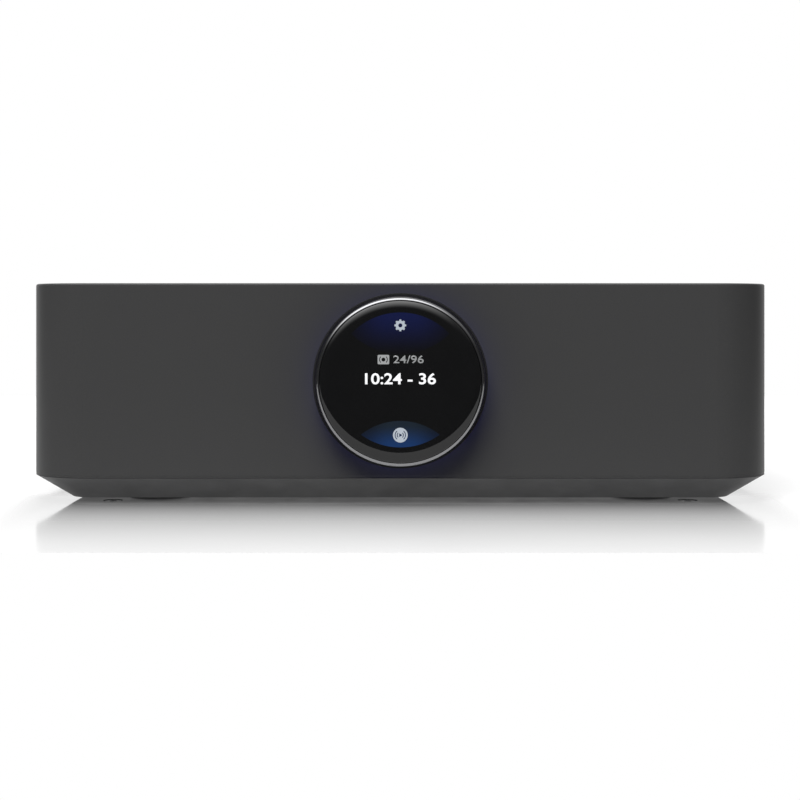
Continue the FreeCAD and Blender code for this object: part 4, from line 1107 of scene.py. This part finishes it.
@dataclass
class Dial:
    """The volume ring, the domed cover glass and the picture on it. Outward is along -Y.

    A place in the picture is counted in the photograph's pixels, a column to the right of its
    middle and a row below it, and so is the size of a sign.
    """

    face: float = -105.0
    steps: int = 160
    glass_front: float = 8.96
    glass_back: float = 6.95
    glass_flat: float = 17.9
    glass_edge: float = 22.25
    back_bevel: float = 0.15
    rim_lean: float = 34.0
    crown_power: float = 2.25
    crown_steps: int = 20
    picture_depth: float = 0.02
    picture_rise: float = 0.52
    picture_radius: float = 67.5
    ring_outline: Outline = (
        (0.50, 23.52), (0.50, 23.90), (0.56, 23.98), (0.66, 23.99), (7.02, 23.27), (7.12, 23.25),
        (7.29, 23.20), (7.44, 23.12), (7.58, 23.02), (7.71, 22.90), (7.82, 22.77), (7.91, 22.62),
        (7.97, 22.47), (7.97, 22.42), (7.93, 22.38), (4.42, 22.38), (4.42, 19.30), (3.23, 19.30),
        (3.23, 23.50), (3.10, 23.52), (0.50, 23.52),
    )
    # A thin near-black ring on the face: a painted contact shadow round the ring's base.
    shadow_ring_outline: Outline = (
        (0.0, 23.60), (0.22, 23.60), (0.25, 23.64), (0.25, 24.32), (0.20, 24.43), (0.0, 24.48),
        (0.0, 23.60),
    )
    middle: Vector = field(default_factory=lambda: node_centre("display_glass"))

    def build(self) -> None:
        """Make the ring, a near-black ring of painted shade at its base, the glass and the picture."""
        ring = self.spun("volume_ring_metal", self.ring_outline, 24.0)
        done(ring, RING_METAL, "volume_dial", "ring_polished", "volume_ring")
        # Painted shade: the near-black ring stands for the contact shadow where the ring meets the face.
        shadow_ring = self.spun("dial_shadow_ring", self.shadow_ring_outline, 30.0)
        done(shadow_ring, DIAL_SHADOW_RING, "chassis", "rubber_black")
        self.make_glass()
        self.make_picture()

    def out(self, distance: float) -> float:
        """The y of a distance off the case's face."""
        return self.face - distance

    def spun(self, name: str, outline: Outline, limit: float) -> Piece:
        """Spin an outline of (distance off the face, radius) about the dial's axis."""
        shape = [(-distance, radius) for distance, radius in outline]
        return turned(name, shape, (self.middle.x, self.face, self.middle.z), self.steps, limit)

    def crown(self) -> list[tuple[float, float]]:
        """The glass's crown, which leans more and more towards the rim.

        Returns:
            Points as (distance off the face, radius), from the rim inwards.
        """
        points = [(self.glass_front, self.glass_flat)]
        step = (self.glass_edge - self.glass_flat) / self.crown_steps
        for number in range(self.crown_steps):
            share = (number + 0.5) / self.crown_steps
            lean = math.radians(self.rim_lean) * share ** self.crown_power
            along, radius = points[-1]
            points.append((along - math.tan(lean) * step, radius + step))
        return points[::-1]

    def make_glass(self) -> None:
        """The black-backed glass, flat in the middle and domed at its edge."""
        crown = self.crown()
        rim = crown[0][0]
        back, edge, bevel = self.glass_back, self.glass_edge, self.back_bevel
        outline = [(back, 0.0), (back, edge - bevel), (back + bevel, edge), (rim - 0.08, edge),
                   (rim, edge - 0.04)] + crown[1:] + [(self.glass_front, radius) for radius in (12, 6, 0)]
        glass = self.spun("cover_glass_domed", outline, 30.0)
        done(glass, COVER_GLASS, "chassis", "display_glass", "display_glass")

    def at(self, column: float, row: float, lift: float = 0.0) -> Place:
        """A place in the picture.

        Args:
            column: how many pixels it lies right of the picture's middle.
            row: how many pixels it lies below it.
            lift: how far it lies off the middle of the picture's depth.

        Returns:
            Its x, y and z.
        """
        return (self.middle.x + column * PIXEL,
                self.out(self.glass_front + self.picture_depth / 2 + lift),
                self.middle.z + (self.picture_rise - row * PIXEL))

    def flat(self, name: str, row: float, radius: float, points: int = 64, lift: float = 0.0,
             deep: float = 1.0) -> Piece:
        """A disc on the picture's upright middle line, as deep as the picture times a factor."""
        return disc(name, self.at(0.0, row, lift), radius * PIXEL, self.picture_depth * deep, points)

    def show(self, piece: Piece, finish: Finish) -> None:
        """Finish a piece of the picture."""
        done(piece, finish, "chassis", "display_screen")

    def make_picture(self) -> None:
        """Two glowing fields, three signs and plain figures."""
        self.make_glow("lower_glow", 104.3, 63.5, LOWER_LIGHT)
        self.make_glow("upper_glow", -96.3, 70.0, UPPER_LIGHT)
        self.make_gear_sign()
        self.make_source_sign()
        self.make_play_sign()
        for name, words, middle, height, width, weight, finish in (
                ("rate_figures", "24/96", self.at(8.2, -20.8), 7.9, 30.5, 0.008, GREY_SIGN),
                ("level_figures", "10:24 - 36", self.at(0.2, -1.4), 11.4, 71.0, 0.018, WHITE_SIGN)):
            self.show(written(name, words, middle, height * PIXEL, width * PIXEL, weight,
                              self.picture_depth), finish)

    def make_glow(self, name: str, row: float, radius: float, light: ScreenLight) -> None:
        """A field of light with the shape that the picture's disc shares with another disc.

        Args:
            name: the piece's name.
            row: where the other disc's middle lies.
            radius: the other disc's radius.
            light: the finish.
        """
        glow = self.flat(name, -0.2, self.picture_radius, 128)
        carve(glow, self.flat(name + "_tool", row, radius, 128, deep=4.0), "INTERSECT")
        self.show(glow, light)

    def make_gear_sign(self) -> None:
        """A small gear with eight teeth."""
        row, points = -54.8, 32
        gear = self.flat("gear_sign", row, 4.75, points, 0.004)
        x, _, z = self.at(0.0, row)

        def on_tooth(place: Vector, normal: Vector) -> bool:
            """Whether a face is a tooth's: two side faces in four are."""
            turn = math.atan2(place.z - z * MM, place.x - x * MM) / math.tau * points
            return abs(normal.y) <= 0.5 and math.floor(turn + points + 1) % 4 < 2

        with editing(gear):
            pick(gear, Pick.FACES, on_tooth)
            bpy.ops.mesh.extrude_region_shrink_fatten(
                TRANSFORM_OT_shrink_fatten={"value": 1.15 * PIXEL * MM})
        carve(gear, self.flat("gear_hole", row, 2.05, points, deep=50.0))
        self.show(gear, PALE_SIGN)

    def arc_tool(self, name: str, column: float, row: float, radius: float, half_width: float,
                 start: float, sweep: float) -> Piece:
        """A curved bar that cuts an arc out of a sign.

        Args:
            name: the tool's name.
            column: where the arc's middle lies across.
            row: where it lies down.
            radius: of the arc, in pixels.
            half_width: half the bar's width, in pixels.
            start: the angle at which it begins, in degrees from the right.
            sweep: how far it goes round, in degrees.

        Returns:
            The tool.
        """
        middle = Vector(self.at(column, row, -self.picture_depth / 2))
        low = (radius - half_width) * PIXEL
        high = (radius + half_width) * PIXEL
        clear_selection()
        bpy.ops.mesh.primitive_plane_add(
            size=1.0, location=(middle + Vector(((low + high) / 2, 0, 0))) * MM)
        bpy.context.object.scale = ((high - low) * MM, 1.0 * MM, 1.0)
        tool = newest(name)
        tool.data.transform(Matrix.Translation(middle * MM)
                            @ Matrix.Rotation(-math.radians(start), 4, "Y")
                            @ Matrix.Translation(-middle * MM))
        with editing(tool):
            bpy.ops.mesh.select_all(action="SELECT")
            bpy.ops.mesh.spin(steps=max(6, int(sweep / 9)), angle=math.radians(sweep), center=middle * MM,
                              axis=(0, 1, 0))
            heal(0.001)
        return tool

    def cut_arcs(self, piece: Piece, column: float, row: float, arcs: Sequence[tuple[float, ...]]) -> None:
        """Cut arcs with one middle out of a sign.

        Args:
            piece: the sign.
            column: where the middle lies across.
            row: where it lies down.
            arcs: for each, its radius and half its width in pixels, its start and sweep in degrees.
        """
        for number, arc in enumerate(arcs):
            carve(piece, self.arc_tool(f"arc_tool_{number}", column, row, *arc))

    def make_source_sign(self) -> None:
        """A light tile with round corners, and a dot and two waves cut out of it."""
        column, row = -16.9, -20.6
        half_x, half_z = 11.6 * PIXEL / 2, 9.4 * PIXEL / 2
        x, _, z = self.at(column, row)
        near, far = self.out(self.glass_front + self.picture_depth), self.out(self.glass_front)
        tile = cuboid("source_sign", (x - half_x, near, z - half_z), (x + half_x, far, z + half_z))
        with editing(tile):
            pick(tile, Pick.EDGES, lambda _, run: abs(run.y) > 0.9)
            bpy.ops.mesh.bevel(offset=1.1 * PIXEL * MM, segments=5, affect="EDGES")
        self.cut_arcs(tile, column, row, ((1.5, 0.45, 0, 360), (3.9, 0.42, -48, 96), (3.9, 0.42, 132, 96)))
        self.show(tile, TILE_SIGN)

    def make_play_sign(self) -> None:
        """A pale disc with two arcs on each side and a small arrowhead cut out of it."""
        row = 55.0
        plate = self.flat("play_sign", row, 7.4, lift=0.004)
        self.cut_arcs(plate, 0.0, row, ((5.2, 0.42, -52, 104), (5.2, 0.42, 128, 104),
                                        (3.1, 0.40, -48, 96), (3.1, 0.40, 132, 96)))
        arrow = self.flat("play_arrow", row, 2.1, 3, deep=10.0)
        centre = Matrix.Translation(Vector(self.at(0.0, row)) * MM)
        arrow.data.transform(centre @ Matrix.Rotation(math.pi / 2, 4, "Y") @ centre.inverted())
        carve(plate, arrow)
        self.show(plate, PALE_SIGN)


# Fasteners


@dataclass
class HexScrew:
    """A round-headed screw with a six-sided socket, along Y, or along Z when upright."""

    head_radius: float
    head_height: float
    shank_radius: float
    length: float
    socket_radius: float
    socket_depth: float
    upright: bool = False
    edge_share: float = 0.3
    tip_share: float = 0.7
    tip_length: float = 0.5

    def build(self, name: str, centre: Sequence[float], facing: int) -> Piece:
        """Make one screw.

        Args:
            name: its name.
            centre: where the head meets the shank.
            facing: 1 where the head looks along the axis's positive direction, else -1.

        Returns:
            The screw.
        """
        crown, end = self.head_height * facing, -self.length * facing
        shank, head = self.shank_radius, self.head_radius
        edge = min(self.head_height, head) * self.edge_share
        outline = [(end, 0.0), (end, shank * self.tip_share), (end + self.tip_length * facing, shank),
                   (0.0, shank), (0.0, head), (crown - edge * facing, head),
                   (crown - edge * 0.3 * facing, head - edge * 0.35), (crown, head - edge), (crown, 0.0)]
        screw = turned(name, outline, centre, 48, upright=self.upright)
        axis = Vector((0, 0, 1)) if self.upright else Vector((0, 1, 0))
        top = Vector(centre) + axis * crown
        carve(screw, disc(name + "_socket", top, self.socket_radius, 2 * self.socket_depth, 6, self.upright))
        return smooth(screw, 30.0)


@dataclass
class Fasteners:
    """The screws that show on the back and below."""

    panel: HexScrew = field(default_factory=lambda: HexScrew(1.88, 0.68, 0.98, 5.9, 0.85, 0.5))
    panel_inset: float = 1.9
    panel_face: float = 105.0
    base: HexScrew = field(default_factory=lambda: HexScrew(2.75, 1.15, 1.45, 9.8, 1.25, 0.8, True))
    base_inset: float = 2.8
    base_seat: float = 2.38

    def build(self) -> None:
        """Make both sets of four."""
        low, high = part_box("panel_screws")
        columns, rows = ((low[axis] / MM + self.panel_inset, high[axis] / MM - self.panel_inset)
                         for axis in (0, 2))
        screws = [self.panel.build(f"panel_screw_{x:.0f}_{z:.0f}", (x, self.panel_face, z), 1)
                  for x in columns for z in rows]
        done(join(screws, "panel_hex_screws"), BLACK_SCREW, "chassis", "screw_black", "panel_screws")
        low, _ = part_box("base_screws")
        corner = (low.x / MM + self.base_inset, low.y / MM + self.base_inset, self.base_seat)
        first = self.base.build("base_screw", corner, -1)
        screws = in_four_corners(first, "base_hex_screws", "base_screws", self.base_inset)
        done(screws, BLACK_SCREW, "chassis", "screw_black", "base_screws")


# Seam and feet


@dataclass
class SeamBead:
    """A thin painted bead that fills the rounded lower edge of the case, just above the seam."""

    half: float = 104.95
    low: float = 7.60
    high: float = 8.15
    depth: float = 1.0
    corner: float = 16.45

    def build(self) -> None:
        """Stretch a block, round its corners, inset its two ends and bridge them through."""
        bead = cuboid("seam_bead", (-self.half, -self.half, self.low), (self.half, self.half, self.high))
        with editing(bead):
            pick(bead, Pick.EDGES, lambda _, run: abs(run.z) > 0.9)
            bpy.ops.mesh.bevel(offset=self.corner * MM, segments=18, affect="EDGES")
            pick(bead, Pick.FACES, lambda _, normal: abs(normal.z) > 0.9)
            bpy.ops.mesh.inset(thickness=self.depth * MM)
            bpy.ops.mesh.bridge_edge_loops()
            heal()
        done(smooth(bead, 30.0), CASE_PAINT, "chassis", "case_aluminium")


@dataclass
class Feet:
    """Four rubber discs with a stepped ring on their soles."""

    radius: float = 8.98
    height: float = 1.98
    inset: float = 9.0
    groove_depth: float = 0.18

    def build(self) -> None:
        """Make one foot and copy it to the other three places."""
        low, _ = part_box("feet")
        outline = [(0.0, 0.0), (0.0, 3.4), (self.groove_depth, 3.7), (self.groove_depth, 4.6), (0.0, 4.9),
                   (0.0, self.radius - 0.5), (0.12, self.radius - 0.2), (0.4, self.radius - 0.02),
                   (0.6, self.radius), (self.height - 0.1, self.radius),
                   (self.height, self.radius - 0.1), (self.height, 0.0)]
        corner = (low.x / MM + self.inset, low.y / MM + self.inset, 0.0)
        first = turned("foot", outline, corner, 72, 35.0, upright=True)
        feet = in_four_corners(first, "rubber_feet", "feet", self.inset)
        done(feet, RUBBER, "chassis", "rubber_black", "feet")


# Speaker posts


@dataclass
class SpeakerKnobs:
    """Four fluted knobs, each with a coloured ring let into its end."""

    radius: float = 6.48
    bore: float = 3.1
    back: float = 103.86
    front: float = 114.38
    groove: tuple[float, float] = (3.75, 5.0)
    groove_depth: float = 0.3
    band: tuple[float, float] = (3.8, 4.95)
    flutes: int = 10
    flute_radius: float = 1.28
    flute_start: float = 2.9
    steps: int = 80
    red: tuple[int, ...] = (2, 4)

    def knob_outline(self) -> list[tuple[float, float]]:
        """The knob's half section, with a collar, a neck and a groove for the coloured ring.

        Returns:
            Points as (y, radius).
        """
        back, front, wide, floor = self.back, self.front, self.radius, self.front - self.groove_depth
        inner, outer = self.groove
        return [(back, self.bore), (back, wide - 0.8), (back + 0.15, wide - 0.6),
                (back + 0.65, wide - 0.12), (back + 0.85, wide), (back + 1.9, wide),
                (back + 2.1, wide - 0.25), (back + 2.35, wide - 0.25), (back + 2.55, wide),
                (front - 1.2, wide), (front - 0.55, wide - 0.18), (front - 0.18, wide - 0.6),
                (front, wide - 1.2), (front, outer), (floor, outer), (floor, inner), (front, inner),
                (front, self.bore), (back, self.bore)]

    def band_outline(self) -> list[tuple[float, float]]:
        """The coloured ring's section, with its two outer edges taken off.

        Returns:
            Points as (y, radius).
        """
        floor, shoulder, top = (self.front - down for down in (self.groove_depth, 0.1, 0.02))
        inner, outer = self.band
        return [(floor, inner), (floor, outer), (shoulder, outer), (top, outer - 0.1), (top, inner + 0.1),
                (shoulder, inner), (floor, inner)]

    def flute_tools(self, middle: Vector) -> Piece:
        """Rods that cut the flutes.

        Args:
            middle: the knob's middle.

        Returns:
            All rods in one piece.
        """
        reach = self.radius + self.flute_radius / 2
        length = self.front - self.back - self.flute_start
        y = self.back + self.flute_start + length / 2 + 0.5
        rods = []
        for number in range(self.flutes):
            turn = math.tau * number / self.flutes
            centre = (middle.x + reach * math.cos(turn), y, middle.z + reach * math.sin(turn))
            rods.append(disc(f"flute_{number}", centre, self.flute_radius, length + 1.0, 20))
        return join(rods, "flutes")

    def build(self) -> None:
        """Make one knob, copy it to the four posts and fit the rings."""
        middle = node_centre("post_knob_1")
        centre = (middle.x, 0.0, middle.z)
        knob = turned("knob_body_1", self.knob_outline(), centre, self.steps)
        carve(knob, self.flute_tools(middle))
        soften(knob, 0.12, 2, 40.0)
        smooth(knob, 32.0)
        ring = turned("knob_ring_1", self.band_outline(), centre, 64, 35.0)
        for number in range(1, 5):
            place = node_centre(f"post_knob_{number}")
            shift = (place.x - middle.x, 0.0, place.z - middle.z)
            body = knob if number == 1 else copied(knob, f"knob_body_{number}", shift)
            band = ring if number == 1 else copied(ring, f"knob_ring_{number}", shift)
            finish, slot = ((RED_PLASTIC, "socket_red") if number in self.red
                            else (BLACK_PLASTIC, "socket_black"))
            done(body, finish, f"knob_{number}", slot, f"post_knob_{number}")
            done(band, GOLD, f"knob_{number}", "gold")


# Sockets and prints on the connector panel


@dataclass
class Connectors:
    """Small parts of the sockets, and plain signs beside the posts."""

    bay_face: float = 100.0
    flange_face: float = 105.0
    contacts: int = 10
    bar_long: float = 1.1
    bar_thin: float = 0.22
    print_depth: float = 0.03
    figure_drop: float = 1.9
    figure_height: float = 2.1

    def build(self) -> None:
        """Make the contacts, the frame and the lamps of the network socket, and the signs."""
        self.make_video_contacts()
        self.make_network_trim()
        self.make_signs()

    def make_video_contacts(self) -> None:
        """Thin gold contacts on the tongue."""
        low, high = node_box("hdmi_tongue")
        step = (high.x - low.x - 1.6) / (self.contacts - 1)
        first = cuboid("video_contact", (low.x + 0.6, low.y + 2.0, high.z),
                       (low.x + 1.0, high.y - 0.3, high.z + 0.06))
        soften(first, 0.02, 1)
        others = [copied(first, f"video_contact_{number}", (step * number, 0, 0))
                  for number in range(1, self.contacts)]
        done(join([first] + others, "video_contacts"), GOLD, "chassis", "gold")

    def make_network_trim(self) -> None:
        """A thin metal frame round the socket's mouth and two lamps in its upper corners."""
        low, high = node_box("ethernet_jack")
        face, behind, below = high.y, high.y - 2.0, low.z - 1.0
        rim = cuboid("network_rim", (low.x - 0.35, face - 0.5, low.z + 0.02),
                     (high.x + 0.35, face + 0.12, high.z + 0.35))
        carve(rim, cuboid("network_hole", (low.x + 0.55, behind, below),
                          (high.x - 0.55, face + 1.0, high.z - 0.5)))
        carve(rim, cuboid("network_clear", (low.x - 0.02, behind, below),
                          (high.x + 0.02, face, high.z + 0.02)))
        soften(rim, 0.05, 1)
        done(smooth(rim, 30.0), NICKEL, "chassis", "nickel")
        for side, finish, left in (("left", GREEN_LENS, low.x + 0.75), ("right", AMBER_LENS, high.x - 2.45)):
            lens = cuboid(f"network_lamp_{side}", (left, face - 0.2, high.z - 1.75),
                          (left + 1.7, face + 0.08, high.z - 0.75))
            soften(lens, 0.12)
            done(smooth(lens, 30.0), finish, "chassis", "led_white")

    def bar(self, name: str, place: Vector, half_x: float, half_z: float) -> Piece:
        """A thin printed bar on the floor of the bay."""
        return cuboid(name, (place.x - half_x, self.bay_face, place.z - half_z),
                      (place.x + half_x, self.bay_face + self.print_depth, place.z + half_z))

    def make_signs(self) -> None:
        """Plus and minus beside the posts, and a figure over each pair."""
        places = [node_centre(f"post_knob_{number}") for number in range(1, 5)]
        long, thin = self.bar_long, self.bar_thin
        x = (places[0].x + places[2].x) / 2
        low, high = (Vector((x, 0.0, place.z)) for place in places[:2])
        done(self.bar("minus_sign", low, long, thin), SIGN_INK, "chassis", "socket_white")
        plus = join([self.bar("plus_sign", high, long, thin), self.bar("plus_upright", high, thin, long)],
                    "plus_sign")
        done(plus, SIGN_INK, "chassis", "socket_white")
        _, panel_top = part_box("rear_panel")
        for figure, wide, place in (("2", 1.25, places[1]), ("1", 0.42, places[3])):
            middle = (place.x, self.flange_face, panel_top.z / MM - self.figure_drop)
            piece = written(f"pair_figure_{figure}", figure, middle, self.figure_height, wide, 0.02,
                            self.print_depth, True)
            done(piece, SIGN_INK, "chassis", "socket_white")


# CAD nodes that keep their shape


@dataclass
class CarriedOver:
    """The CAD nodes whose shape is right, by their finish."""

    nodes: tuple[tuple[Finish, str], ...] = (
        (CASE_PAINT, "top_case"), (BASE_PLASTIC, "base_cover"), (PANEL_PLASTIC, "rear_panel"),
        (HUB_METAL, "display_hub"), (CARRIER, "display_carrier"), (SCREEN, "display_panel"),
        (BEARING, "slide_bearing"), (LAMP, "halo_leds"), (LIGHT_GUIDE, "halo_light_guide"),
        (RIBBON, "display_cable"), (MAGNET, "encoder_magnet_ring"), (INSULATOR, "rca_insulators"),
        (BUTTON_PLASTIC, "setup_button"), (SINK_METAL, "heat_sink"), (CHIP, "amplifier_chips"),
        (THERMAL_PAD, "thermal_pads"), (WINDING, "transformer_winding"), (CAN, "bulk_capacitors"),
        (FUSE, "fuse"), (WIRE, "power_harness"), (COPPER, "antennas mains_choke"),
        (FERRITE, "output_inductors transformer_core"), (NICKEL, "hdmi_shell inlet_pins"),
        (BOARD, "display_board led_board main_board power_board"),
        (BLACK_PLASTIC, "post_bases hdmi_tongue ethernet_jack inlet_housing setup_switch"),
        (TINNED, "hub_screws flange_screws board_screws heat_sink_screws processor_shield wifi_module"),
        (GOLD, "post_studs post_nuts clamp_washer_1 clamp_washer_2 clamp_washer_3 clamp_washer_4"
               " rca_shells rca_contacts ethernet_contacts"),
    )

    def build(self) -> None:
        """Give each node its finish and log it."""
        for finish, names in self.nodes:
            for name in names.split():
                paint(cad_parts[name], finish)
                LOG.info("%s: %s", name, finish.name)


def main() -> None:
    """Build the studio and every piece, in order."""
    logging.basicConfig(level=logging.INFO, format="%(name)s: %(message)s")
    for assembly in (Studio(), CarriedOver(), Dial(), Fasteners(), SeamBead(), Feet(), SpeakerKnobs(),
                     Connectors()):
        assembly.build()
        LOG.info("%s finished", type(assembly).__name__)


if __name__ == "__main__":
    main()
